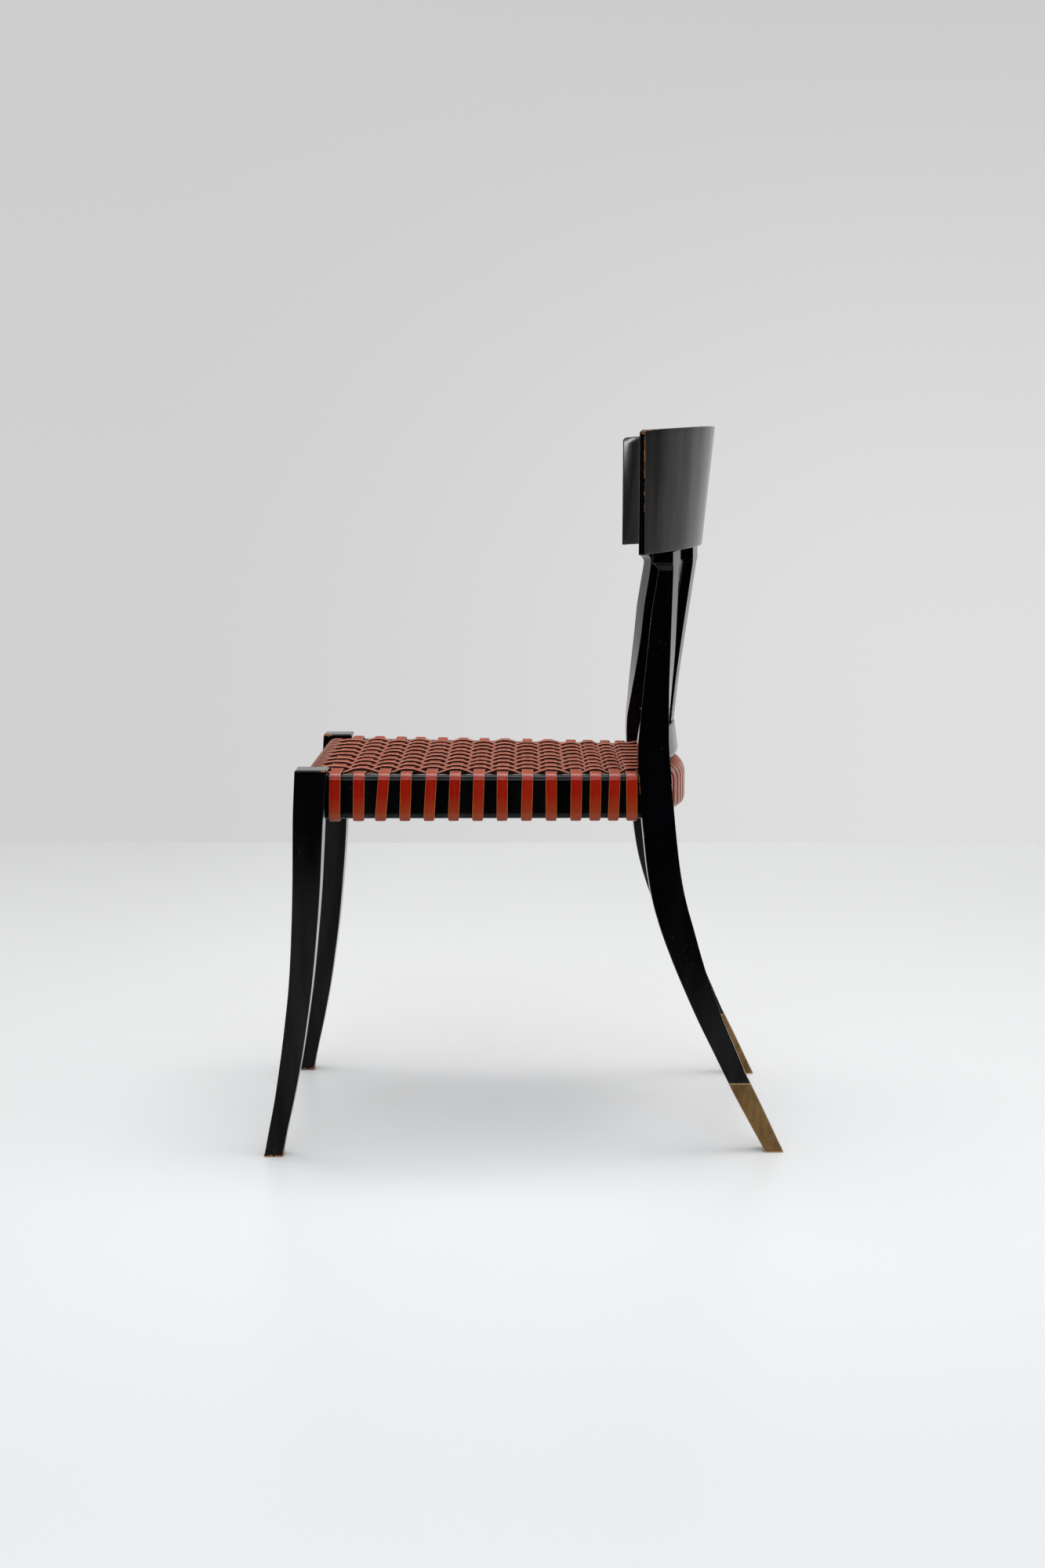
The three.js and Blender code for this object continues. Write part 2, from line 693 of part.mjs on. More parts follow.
function rearBlock(side) {
  const sideEnd = sideRailRearX - rearBlockLeg;
  const crossEnd = rearLegInner - rearBlockLeg;
  const railFront = backRailFace(crossEnd) - backRailThickness;
  const railCore = railFront + backRailThickness / 2;
  const corners = [[railCore, crossEnd], [railFront, crossEnd], [sideEnd, sideRailInner(sideEnd)],
    [sideEnd, sideRailInner(sideEnd) + sideRailThickness / 2],
    [sideRailRearX + sideRailThickness / 2, sideRailInner(sideRailRearX) + sideRailThickness / 2],
    [sideRailRearX + sideRailThickness / 2, rearLegInner]];
  return prism(corners, side);
}

// Round piece on a straight axis, through [distance, radius] pairs
function turned(base, direction, profile) {
  const axis = direction.clone().normalize();
  const across = point(-axis.y, axis.x, 0);
  return loft(profile.map(([along, radius]) => {
    const ring = [];
    for (let k = 0; k < screwFacets; k += 1) {
      const turn = (fullTurn * k) / screwFacets;
      const centre = base.clone().addScaledVector(axis, along);
      centre.addScaledVector(across, radius * Math.cos(turn));
      ring.push(centre.addScaledVector(upward, radius * Math.sin(turn)));
    }
    return ring;
  }));
}

// Countersunk screw whose distance is measured from the face of the rail, into the rail
function blockScrew(seat) {
  const start = screwBite - screwLength;
  return turned(seat.base, seat.direction, [[start, screwHead / 2],
    [start + screwHeadHeight, screwShank / 2], [screwBite, screwShank / 2]]);
}

// Clearance for a screw: a bore through block and rail, and a wider one for the head
function screwBore(seat) {
  return turned(seat.base, seat.direction, [[-screwLength, screwShank / 2 + fitGap],
    [screwBite + fitGap, screwShank / 2 + fitGap]]);
}

function headBore(seat) {
  const start = screwBite - screwLength;
  const radius = screwHead / 2 + fitGap;
  return turned(seat.base, seat.direction, [[-blockLeg, radius], [start + fitGap, radius],
    [start + screwHeadHeight + fitGap, screwShank / 2 + fitGap]]);
}

// Screws of one corner, one into each rail
function screwSeats(side) {
  const frontX = frontRailInner + screwSetback;
  const frontY = sideRailInner(frontRailInner) - screwSetback;
  const rearX = sideRailRearX - rearScrewSetback;
  const rearY = rearLegInner - rearScrewSetback;
  const outward = point(0, side, 0);
  return {
    front: [
      { name: 'side', base: point(frontX, side * sideRailInner(frontX), blockMiddle), direction: outward },
      { name: 'cross', base: point(frontRailInner, side * frontY, blockMiddle),
        direction: point(-1, 0, 0) }],
    rear: [
      { name: 'side', base: point(rearX, side * sideRailInner(rearX), blockMiddle), direction: outward },
      { name: 'cross', base: point(backRailFace(rearY) - backRailThickness, side * rearY, blockMiddle),
        direction: alongX }],
  };
}

// Seat straps. A lap is how a strap wraps a rail: pairs of inner and outer points, from the tail under
// the rail to the inner edge of its top, as [distance in from the rail's outer face, height]

function lap(topRound, thickness, innerRound) {
  const arc = (centreA, centreZ, radius, from, s) => {
    const turn = from - (quarterTurn * s) / cornerSteps;
    const pair = [radius + fitGap, radius + fitGap + strapThickness];
    return pair.map((r) => [centreA - r * Math.cos(turn), centreZ + r * Math.sin(turn)]);
  };
  const under = railBottom - fitGap;
  const stations = [[[strapUnderlap, under], [strapUnderlap, under - strapThickness]]];
  for (let s = 0; s <= cornerSteps; s += 1) {
    stations.push(arc(railBottomRound, railBottom + railBottomRound, railBottomRound,
      -quarterTurn, -s));
  }
  for (let s = 0; s <= cornerSteps; s += 1) {
    stations.push(arc(topRound, railTop - topRound, topRound, 0, -s));
  }
  const over = railTop + fitGap;
  const flatEnd = thickness - innerRound;
  stations.push([[flatEnd, over], [flatEnd, over + strapThickness]]);
  return stations;
}

// Band between two edges, each a list of inner and outer points
function strapBand(edgeA, edgeB) {
  return loft(edgeA.map(([inA, outA], i) => [inA, edgeB[i][0], edgeB[i][1], outA]));
}

const weaveMiddle = railTop + fitGap + strapThickness / 2 - weaveDip;
const weaveStep = strapThickness + weaveGap;
const postBack = frontLegSection(railTop, 0).back;
const stileFront = rearLegCorners(railTop, sides.right, 0)[0].x;

const crossFirst = postBack + strapLegGap + strapWidth / 2;
const crossLast = stileFront - strapLegGap - strapWidth / 2;
const crossPlaces = crossStrapShares.map((share) => THREE.MathUtils.lerp(crossFirst, crossLast, share));

const fanHalf = (x) => longStrapFrontHalf
  * tableValue(fanShares, (x - crossFirst) / (crossLast - crossFirst), 1);

function crossStrap(place) {
  const edge = (x) => {
    const half = lap(railTopRound, sideRailThickness, railTopRound)
      .map((pair) => pair.map(([a, z]) => [sideRailFace(x) - a, z]));
    const inner = fanHalf(x) + strapWidth / 2;
    const low = weaveMiddle - strapThickness / 2;
    half.push([[inner, low], [inner, low + strapThickness]]);
    const fall = railFall(x);
    const toSide = (side) => half.map((pair) => pair.map(([y, z]) => point(x, side * y, z - fall)));
    return [...toSide(1), ...toSide(-1).reverse()];
  };
  return strapBand(edge(place - strapWidth / 2), edge(place + strapWidth / 2));
}

// Heights of a strap's underside near the rounded inner edge of a rail, at shares of that round
function edgeRise(radius) {
  return edgeShares.map((share) => {
    const inset = radius * share;
    return [inset, railTop - radius + Math.sqrt(radius * radius - (radius - inset) ** 2) + fitGap];
  });
}

function longStrap(number) {
  const fan = (2 * number) / (longStrapCount - 1) - 1;
  const edge = (offset) => {
    const across = (x) => fan * fanHalf(x) + offset;
    const pairAt = (x, low) => [point(x, across(x), low), point(x, across(x), low + strapThickness)];
    const low = crossPlaces.map((_, i) => {
      const rise = (i + number) % 2 === 0 ? -weaveStep : weaveStep;
      return weaveMiddle - strapThickness / 2 + rise;
    });
    const onRail = railTop + fitGap;
    const reach = strapWidth / 2 + weaveEase;

    const frontLap = lap(railTopRound, frontRailThickness, frontRailInnerRound)
      .map((pair) => pair.map(([a, z]) => point(frontRailFace + a, across(frontRailInner), z)));
    const frontEase = frontRailInner - frontRailInnerRound;
    const frontRun = crossPlaces[0] - reach - frontEase;
    const onFront = edgeRise(frontRailInnerRound).reverse().map(([inset, rise]) => {
      const x = frontRailInner - inset;
      const straight = THREE.MathUtils.lerp(onRail, low[0], (x - frontEase) / frontRun);
      return pairAt(x, Math.max(straight, rise));
    });

    const fallTo = (x, height) => pairAt(x, height - railFall(x));
    const weave = crossPlaces.flatMap((x, i) => [fallTo(x - reach, low[i]), fallTo(x + reach, low[i])]);

    const rearStart = crossLast + reach;
    const rearLow = low[low.length - 1] - railFall(rearStart);
    const rearY = across(rearStart);
    const rearFace = backRailFace(rearY);
    const rearInner = rearFace - backRailThickness;
    const rearRun = rearInner + backRailInnerRound - rearStart;
    const onRear = edgeRise(backRailInnerRound).map(([inset, rise]) => {
      const x = rearInner + inset;
      const straight = THREE.MathUtils.lerp(rearLow, onRail, (x - rearStart) / rearRun);
      const height = Math.max(straight, rise);
      return [point(x, rearY, height), point(x, rearY, height + strapThickness)];
    });
    const rearLap = lap(backRailTopRound, backRailThickness, backRailInnerRound)
      .map((pair) => pair.map(([a, z]) => point(rearFace - a, rearY, z))).reverse();
    return [...frontLap, ...onFront, ...weave, ...onRear, ...rearLap];
  };
  return strapBand(edge(-strapWidth / 2), edge(strapWidth / 2));
}

// Frame assembly: each shoulder is cut to the piece that it meets, then the tenon is joined on

const solids = {};
const cut = (solid, ...geometries) => geometries.reduce((rest, g) => rest.subtract(toSolid(g)), solid);
const join = (solid, ...geometries) => geometries.reduce((rest, g) => rest.add(toSolid(g)), solid);

const ceiling = crestCeiling();
const legTop = crestBottom + crestArchBottom + cutOverrun;
const headTenonPlace = (side) => {
  const corners = rearLegCorners(crestBottom, side, 0);
  return (corners[0].y + corners[3].y) / 2;
};
const slatTenonPlace = (side) => (side * slatSpacing) / 2;

let crest = toSolid(crestSkin());
let lowerRail = toSolid(lowerRailSkin());
let backRail = toSolid(backRailSkin(0));
let frontRail = toSolid(frontRailSkin(0));

for (const [name, side] of Object.entries(sides)) {
  const seats = screwSeats(side);
  const frontSeat = frontLegSkin(side, fitGap);
  const rearSeat = rearLegSkin(side, fitGap, sabotHeight, legTop);
  const bores = (corner, rail) => screwBore(seats[corner].find((seat) => seat.name === rail));

  solids[`front_leg_${name}`] = cut(toSolid(frontLegSkin(side, 0)), frontTenon(side, fitGap),
    sideTenon(sideRailFrontX, side, fitGap));

  const rearLeg = join(cut(toSolid(rearLegWithCore(side, legTop)), ceiling),
    crestTenon(headTenonPlace(side), 0));
  solids[`rear_leg_${name}`] = cut(rearLeg, backTenon(side, fitGap), lowerTenon(side, fitGap),
    sideTenon(sideRailRearX, side, fitGap), sabotPin(side, fitGap));
  solids[`rear_sabot_${name}`] = cut(toSolid(sabot(side)), sabotPin(side, fitGap));

  const sideRail = join(cut(toSolid(sideRailSkin(side, 0)), frontSeat, rearSeat),
    sideTenon(sideRailFrontX, side, 0), sideTenon(sideRailRearX, side, 0));
  solids[`side_rail_${name}`] = cut(sideRail, bores('front', 'side'), bores('rear', 'side'));

  frontRail = cut(join(cut(frontRail, frontSeat), frontTenon(side, 0)), bores('front', 'cross'));
  backRail = cut(join(cut(backRail, rearSeat), backTenon(side, 0)), bores('rear', 'cross'));
  lowerRail = cut(join(cut(lowerRail, rearSeat), lowerTenon(side, 0)), slatFootTenon(side, fitGap));

  solids[`back_slat_${name}`] = join(cut(toSolid(slatSkin(side)), ceiling),
    crestTenon(slatTenonPlace(side), 0), slatFootTenon(side, 0));
  crest = cut(crest, crestTenon(headTenonPlace(side), fitGap), crestTenon(slatTenonPlace(side), fitGap));

  const blocks = {
    front: cut(toSolid(frontBlock(side)), frontSeat, sideRailSkin(side, fitGap), frontRailSkin(fitGap)),
    rear: cut(toSolid(rearBlock(side)), rearSeat, sideRailSkin(side, fitGap), backRailSkin(fitGap)),
  };
  for (const [corner, block] of Object.entries(blocks)) {
    const holes = seats[corner].flatMap((seat) => [screwBore(seat), headBore(seat)]);
    addPiece(`corner_block_${corner}_${name}`, toGeometry(cut(block, ...holes)), beech());
    for (const seat of seats[corner]) {
      addPiece(`block_screw_${corner}_${name}_${seat.name}`, blockScrew(seat), steel());
    }
  }
  addPiece(`sabot_pin_${name}`, sabotPin(side, 0), brass());
}

solids.front_rail = frontRail;
solids.back_seat_rail = backRail;
solids.lower_back_rail = lowerRail;
solids.crest_rail = crest;

for (const [name, solid] of Object.entries(solids)) {
  addPiece(name, toGeometry(solid), name.startsWith('rear_sabot') ? brass() : lacquer());
}

const twoDigits = (number) => String(number).padStart(2, '0');
crossPlaces.forEach((place, i) => {
  addPiece(`cross_strap_${twoDigits(i + 1)}`, crossStrap(place), leather());
});
for (let i = 0; i < longStrapCount; i += 1) {
  addPiece(`long_strap_${twoDigits(i + 1)}`, longStrap(i), leather());
}

export default chair;
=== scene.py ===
import math
import random
from collections import namedtuple

import bpy
from bpy.props import FloatProperty, FloatVectorProperty, IntProperty, PointerProperty
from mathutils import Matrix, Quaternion, Vector


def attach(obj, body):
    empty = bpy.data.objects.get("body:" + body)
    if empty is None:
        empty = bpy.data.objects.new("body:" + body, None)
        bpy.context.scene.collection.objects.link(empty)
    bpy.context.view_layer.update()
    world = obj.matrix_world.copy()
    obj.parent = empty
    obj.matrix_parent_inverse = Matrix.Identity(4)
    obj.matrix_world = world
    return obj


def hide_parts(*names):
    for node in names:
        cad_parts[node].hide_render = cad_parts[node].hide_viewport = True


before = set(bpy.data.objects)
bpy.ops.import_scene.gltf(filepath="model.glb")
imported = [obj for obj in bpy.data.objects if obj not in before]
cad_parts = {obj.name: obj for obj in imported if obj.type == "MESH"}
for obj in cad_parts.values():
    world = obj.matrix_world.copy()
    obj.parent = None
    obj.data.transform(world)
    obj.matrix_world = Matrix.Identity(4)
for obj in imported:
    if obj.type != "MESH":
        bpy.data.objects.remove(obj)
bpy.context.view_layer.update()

bl_info = {
    "name": "Klismos chair",
    "version": (1, 0, 0),
    "blender": (4, 5, 0),
    "location": "View3D > Sidebar > Chair",
    "description": "Lacquered sabre-leg chair with a woven strap seat, built round its packed frame",
    "category": "Object",
}

# The shapes are written in millimetres, and each mesh is scaled to metres as it is made
MM = 0.001
SIDES = {"left": -1, "right": 1}
TURN = math.pi * 2
QUARTER = math.pi / 2
FIT_GAP = 0.3

# Frame sizes
OVERALL_DEPTH = 626.4
TOE_X = -OVERALL_DEPTH / 2
HEEL_X = OVERALL_DEPTH / 2
FRONT_WIDTH = 500
HEEL_WIDTH = 456
STILE_TOP_WIDTH = 386
FRONT_LEG_HEIGHT = 466
RAIL_TOP = 458.6
RAIL_BOTTOM = 406.6
RAIL_MIDDLE = (RAIL_TOP + RAIL_BOTTOM) / 2
BACK_HEIGHT = 259.9
CREST_BOTTOM = RAIL_TOP + BACK_HEIGHT
CREST_HEIGHT = 146

# Front leg: height, place of the front edge, depth and width, as shares
FRONT_LEG_SWEEP = 40.8
FRONT_LEG_DEPTH = 40.4
TOE_DEPTH = 24
FRONT_LEG_WIDTH = 50
TOE_WIDTH = 28
FRONT_LEG_SHARES = [
    [0, 0, 0, 0], [0.072, 0.157, 0.01, 0.06], [0.146, 0.321, 0.07, 0.12], [0.253, 0.507, 0.2, 0.2],
    [0.351, 0.652, 0.27, 0.32], [0.449, 0.772, 0.35, 0.46], [0.565, 0.85, 0.49, 0.64],
    [0.689, 0.902, 0.65, 0.82], [0.8, 0.922, 0.77, 0.95], [0.888, 0.94, 0.86, 1], [1, 1, 1, 0.86],
]
FRONT_LEG_STEP = 3.2
FOOT_ROUND = 1.6
FOOT_ARRIS_SHARE = 0.7
FOOT_WORN_HEIGHT = 14
FOOT_WEAR = 0.6
POST_ROUND_SHARE = 1.2
POST_WORN_HEIGHT = 3
POST_WEAR = 0.75
# Insets of the rings on the flat top of the post, with their wear
POST_FLAT = [(4.5, 0.25), (8, 0)]
# Feet and post tops are knocked more than the leg between them, over this height
KNOCKED_HEIGHT = 40
KNOCKED_FOOT_WEAR = 1.25
KNOCKED_POST_WEAR = 1.02

# Rear leg: height up to the rail top, then on to the crest; back edge, depth, width and twist
REAR_LEG_SWEEP = 139.5
REAR_LEG_DEPTH = 41.5
REAR_LEG_WIDTH = 46
STILE_TWIST = math.radians(14)
REAR_LEG_SHARES = [
    [0, 0, 0.545, 0.6, 0], [0.117, 0.182, 0.645, 0.61, 0], [0.183, 0.288, 0.672, 0.63, 0],
    [0.256, 0.393, 0.716, 0.66, 0], [0.353, 0.528, 0.788, 0.72, 0], [0.448, 0.642, 0.87, 0.78, 0],
    [0.514, 0.71, 0.943, 0.82, 0], [0.588, 0.778, 1.014, 0.87, 0], [0.655, 0.84, 1.02, 0.9, 0],
    [0.723, 0.886, 1.01, 0.92, 0], [0.783, 0.914, 1, 0.93, 0], [0.887, 0.949, 0.996, 0.94, 0],
    [1, 0.979, 0.993, 0.95, 0], [1.126, 0.998, 0.94, 0.98, 0.04], [1.213, 1, 0.889, 1, 0.18],
    [1.379, 1, 0.795, 1, 0.52], [1.543, 0.992, 0.718, 0.95, 0.78], [1.701, 0.983, 0.655, 0.89, 0.9],
    [1.8, 0.977, 0.583, 0.86, 0.96], [1.929, 0.97, 0.482, 0.81, 1], [2.04, 0.967, 0.46, 0.8, 1],
]
REAR_LEG_STEP = 3.4

# Moulded heads under the crest, and how much of a head's growth is left down its cove
HEAD_DEPTH_GROWTH = 5
HEAD_SIDE_GROWTH = 6
HEAD_DROP = 11
HEAD_COVE = 8.5
HEAD_ARRIS_SHARE = 0.6
SLAT_HEAD_GROWTH = 5
SLAT_HEAD_DROP = 8.5
SLAT_HEAD_COVE = 6
COVE_SHARES = [[0, 1], [0.12, 0.68], [0.3, 0.4], [0.55, 0.15], [1, 0]]
# Rings on a cove and on the head above it: share of the height, and wear
COVE_RING_SHARES = [(0.8, 0), (0.62, 0), (0.48, 0), (0.36, 0), (0.26, 0), (0.18, 0), (0.11, 0),
                    (0.05, 0.35), (0.02, 0.35)]
HEAD_RING_SHARES = [(0.001, 0.6), (0.12, 0.3), (0.3, 0), (0.5, 0), (0.7, 0), (0.86, 0), (0.95, 0.2), (1, 0.3)]

# Brass sabots, and the core of the leg inside them
SABOT_HEIGHT = 84
SABOT_WALL = 2
SABOT_FLOOR = 3
SABOT_LIP = 0.7
SABOT_STEP = 3
SABOT_FOOT_ARRIS_SHARE = 0.6
SABOT_ARRIS_SHARE = 0.8
SABOT_RUBBED_FOOT = 3
SABOT_RUBBED_LIP = 2
CORE_ROUND = 0.8
CORE_STEP = 8
SHOULDER_ROUND = 0.6
SHOULDER_WEAR = [0.5, 0.3]

# Rails of the seat and the back
FRONT_RAIL_RECESS = 13.5
SIDE_RAIL_RECESS = 14
SEAT_RAIL_THICKNESS = 24
SIDE_RAIL_REAR_WIDTH = 406
SIDE_RAIL_FALL = 3.6
RAIL_TOP_ROUND = 8
RAIL_BOTTOM_ROUND = 6
FRONT_RAIL_INNER_ROUND = 12
BACK_RAIL_THICKNESS = 26
BACK_RAIL_BOW = 34
BACK_RAIL_REACH = 113.2
BACK_RAIL_TOP_ROUND = 18
BACK_RAIL_INNER_ROUND = 7
LOWER_RAIL_BOTTOM = RAIL_TOP + 7.7
LOWER_RAIL_HEIGHT = 41
LOWER_RAIL_THICKNESS = 20
LOWER_RAIL_BOW = 22
LOWER_RAIL_REACH = 118.5
LOWER_RAIL_TILT = 5
LOWER_RAIL_ROUND = 2
LOWER_RAIL_SOFT_ROUND = 8
# How far rails run on inside the legs, and the step between their rings
RAIL_END_HIDDEN = 3
SIDE_RAIL_REAR_HIDDEN = 8
RAIL_STEP = 6
FRONT_RAIL_STEP = 8
RAIL_ROUND_STEPS = 7
# A round small enough to leave the corners of a section where they are
SHARP_CORNER = 0.01
# Rounds below this are worn as sharp arrises
SHARP_ROUND = 3
SHARP_WEAR = 0.8
ROUND_WEAR = 0.45
RAIL_FACE_WEAR = 0.5

# Crest rail: the curve and the lean are those of its outer face
CREST_WIDTH = 536
CREST_HALF = CREST_WIDTH / 2
CREST_REACH = 89.7
CREST_RADIUS_BOTTOM = 469.52
CREST_RADIUS_TOP = 409.12
CREST_LEAN = 15.8
CREST_THICKNESS = 13
CREST_END_THICKNESS = 9.5
CREST_ARCH_BOTTOM = 7.5
CREST_ARCH_TOP = 9.4
CREST_END_ROUND = 6
CREST_EDGE = 1.8
CREST_STEP_SHARE = 1 / 70
# Extra rings on the rounded top corners of the ends, as shares of the round
CREST_CORNER_SHARES = (0.4, 0.5, 0.7)
CREST_END_ARRIS_SHARE = 0.8
# The flat of an end, inside its rounded edge
CREST_FLAT_ARRIS_SHARE = 0.6
CREST_FLAT_INSET = 1
# Wear of the crest away from its ends, and at them along the bottom and the top of its outer face
CREST_WEAR = 0.66
CREST_END_BOTTOM_WEAR = 0.72
CREST_END_TOP_WEAR = 1.24
CREST_INNER_WEAR_SHARE = 0.72
# The wear turns from the one to the other between these distances from an end
CREST_WEAR_FROM = 70
CREST_WEAR_TO = 2
# The inner face is polished: how far through the board the polish starts and is full
CREST_POLISH_FROM = 0.6
CREST_POLISH_TO = 0.85

# Slats of the back
SLAT_SPACING = 124
SLAT_WIDTH_TOP = 37
SLAT_WIDTH_BOTTOM = 27
SLAT_THICKNESS = 13
SLAT_TWIST = math.radians(10.6)
SLAT_FOOT_REACH = 131
SLAT_LEAN = 27.5
SLAT_LEAN_SHARES = [[0, 0], [0.25, 0.2], [0.5, 0.457], [0.75, 0.727], [1, 1]]
SLAT_FOOT = LOWER_RAIL_BOTTOM + LOWER_RAIL_HEIGHT
SLAT_ARRIS_SHARE = 0.7
SLAT_STEP = 3.6

# Seat straps
STRAP_UNDERLAP = 19
STRAP_LEG_GAP = 0.6
WEAVE_DIP = 1.2
WEAVE_BREADTH = 0.9
WEAVE_STEP = 1.9
USUAL_STRAP_THICKNESS = 3
WEAVE_MIDDLE = RAIL_TOP + FIT_GAP + USUAL_STRAP_THICKNESS / 2 - WEAVE_DIP
CROSSING_MARGIN = 0.5
LONG_WEAVE_RISE = 3.1
CROSS_WEAVE_RISE = 1.35
# How far the near end of each cross strap leans forward from the rail's top to its lower edge
STRAP_LEANS = [0.9, 0.9, 4.6, 1.8, 3.2, 2.3, 1.8, 0.5, 1.4, 0, 0.9, 0.9, 1.8, -0.5]
FAR_STRAP_LEAN = 1.6
FAR_LEAN_TURN = 2.4
LAP_TURN_DRAW = 0.1
LAP_TURN_ABOVE = 2
LAP_TURN_HEIGHT = 5
# Steps of a strap under its rail, up the rail's face and over its top, and points round the two turns
LAP_END_STEP = 4
LAP_FACE_STEP = 3
LAP_TOP_STEP = 2.5
LOW_TURN_STEPS = 8
HIGH_TURN_STEPS = 10
# A strap's top turns from the rail's side to the seat over this width, which starts outside the rail
SEAT_TURN_START = 2
SEAT_TURN_WIDTH = 8
LONG_STRAP_COUNT = 17
LONG_STRAP_FRONT_HALF = 187
CROSS_STRAP_SHARES = [0, 0.08, 0.164, 0.238, 0.323, 0.403, 0.483, 0.562, 0.647, 0.727, 0.813, 0.878,
                      0.943, 1]
# Place of each long strap across the seat, from -1 to 1, and the fan that they make from front to rear
FANS = [2 * n / (LONG_STRAP_COUNT - 1) - 1 for n in range(LONG_STRAP_COUNT)]
FAN_SHARES = [[0, 1], [0.07, 0.99], [0.68, 0.952], [0.93, 0.88], [1, 0.835], [1.1, 0.805]]
# A strap's section: share of its half width, share of its half thickness, how raw the edge is
STRAP_SECTION_SHARES = [
    (-0.86, 1.0, 0), (-0.45, 1.07, 0), (0, 1.09, 0), (0.45, 1.07, 0), (0.86, 1.0, 0), (0.93, 0.94, 0.22),
    (0.98, 0.82, 0.34), (1, 0.62, 0.42), (1, 0, 1), (1, -0.6, 1), (0.95, -0.94, 1), (0, -1, 0.9),
    (-0.95, -0.94, 1), (-1, -0.6, 1), (-1, 0, 1), (-1, 0.62, 0.42), (-0.98, 0.82, 0.34), (-0.93, 0.94, 0.22),
]
# Largest differences between straps
WIDTH_SPREAD_SHARE = 0.02
LEAN_SPREAD = 1.2
DRIFT_SPREAD = 0.9
SWAY_SPREAD = 1.6
RISE_SPREAD_SHARES = (0.9, 1.14)

# Tacks under the rails
TACK_INSET = 13
TACK_SINK = 0.1
TACK_TILT = 0.05
TACK_SEGMENTS = 14
TACK_RINGS = 8


def length_setting(name, description, default, low, high):
    """A setting in metres, from millimetres."""
    return FloatProperty(name=name, description=description, default=default * MM, min=low * MM,
                         max=high * MM, unit="LENGTH")


def colour_setting(name, description, default):
    """A setting with a linear colour."""
    return FloatVectorProperty(name=name, description=description, default=default, size=3, min=0, max=1,
                               subtype="COLOR")


class ChairSettings(bpy.types.PropertyGroup):
    """Sizes and colours that a user of the chair would change."""

    arris: length_setting("Arris", "Radius worn onto the edges of the frame", 2.0, 0.5, 4)
    strap_width: length_setting("Strap width", "Width of one leather strap", 13.2, 8, 16)
    strap_thickness: length_setting("Strap thickness", "Thickness of one leather strap", 3.0, 1.5, 4)
    tack_width: length_setting("Tack width", "Width of a tack head under the rails", 6.5, 3, 10)
    tack_height: length_setting("Tack height", "Height of a tack head", 1.8, 0.5, 4)
    seed: IntProperty(
        name="Seed", description="Seed of the small differences between the straps", default=7, min=0)
    lacquer_color: colour_setting("Lacquer", "Colour of the black lacquer", (0.0006, 0.0006, 0.001))
    lacquer_bloom: colour_setting(
        "Lacquer bloom", "Colour of the faint blue mottling in the lacquer", (0.0009, 0.001, 0.0017))
    bare_wood: colour_setting(
        "Rubbed wood", "Colour of the wood where the lacquer is rubbed through", (0.4, 0.15, 0.045))
    leather_color: colour_setting("Leather", "Colour of the straps", (0.315, 0.0078, 0.0008))
    leather_edge: colour_setting(
        "Leather edge", "Colour of the cut edges of the straps", (0.46, 0.13, 0.03))
    brass_color: colour_setting("Brass", "Colour of the aged brass", (0.3, 0.17, 0.062))


class StageSettings(bpy.types.PropertyGroup):
    """Colours and light levels of the plain stage."""

    floor_color: colour_setting("Floor", "Colour of the plain floor", (0.95, 0.95, 0.95))
    wall_color: colour_setting("Wall", "Colour of the plain backdrop", (0.74, 0.74, 0.74))
    sky_strength: FloatProperty(
        name="Room light", description="Strength of the soft light from all round",
        default=1.0, min=0, max=3)
    lamp_power: FloatProperty(
        name="Lamp power", description="Power of the soft lamp above the chair",
        default=17, min=0, max=500, unit="POWER")


def chair_settings():
    return bpy.context.scene.chair_settings


def stage_settings():
    return bpy.context.scene.chair_stage_settings


def arris_radius():
    return chair_settings().arris / MM


def strap_size():
    settings = chair_settings()
    return settings.strap_width / MM, settings.strap_thickness / MM


# Numbers


def lerp(a, b, share):
    return a + (b - a) * share


def smooth_step(share):
    t = min(max(share, 0), 1)
    return t * t * (3 - 2 * t)


def table_value(table, place, column):
    """Smooth value of a column of a table, at a place given in the table's first column."""
    last = len(table) - 1
    i = 0
    while i < last - 1 and place > table[i + 1][0]:
        i += 1

    def slope(k):
        a, b = table[max(k - 1, 0)], table[min(k + 1, last)]
        return (b[column] - a[column]) / (b[0] - a[0])

    step = table[i + 1][0] - table[i][0]
    t = min(max((place - table[i][0]) / step, 0), 1)
    t2, t3 = t * t, t * t * t
    return ((2 * t3 - 3 * t2 + 1) * table[i][column] + (t3 - 2 * t2 + t) * step * slope(i)
            + (3 * t2 - 2 * t3) * table[i + 1][column] + (t3 - t2) * step * slope(i + 1))


def spaced(start, end, step):
    """Even places from start to end, about a step apart."""
    count = max(int(round(abs(end - start) / step)), 1)
    return [lerp(start, end, i / count) for i in range(count + 1)]


def quarter_turns(steps):
    return [QUARTER * s / steps for s in range(steps + 1)]


def bow_fall(y, bow, half_span):
    """How far a bowed rail lies in front of its crown, at a distance y from the middle."""
    radius = (half_span * half_span + bow * bow) / (2 * bow)
    return radius - math.sqrt(radius * radius - y * y)


# Meshes. A ring is a list of points and the share of wear at each

# How worn the arrises of the legs and slats are, against 1 for a much handled edge
LEG_WEAR = 0.78
# How much less the ends of a worn round are rubbed than its middle
ROUND_END_FADE = 0.36
# Extra points on a face: distance from its corners, most that this may be as a share of the face, wear
FACE_INSETS = [(0.8, 0.06, 0.3), (2.2, 0.16, 0.04), (7, 0.36, 0)]


def add_object(name, data):
    made = bpy.data.objects.new(name, data)
    bpy.context.scene.collection.objects.link(made)
    return made


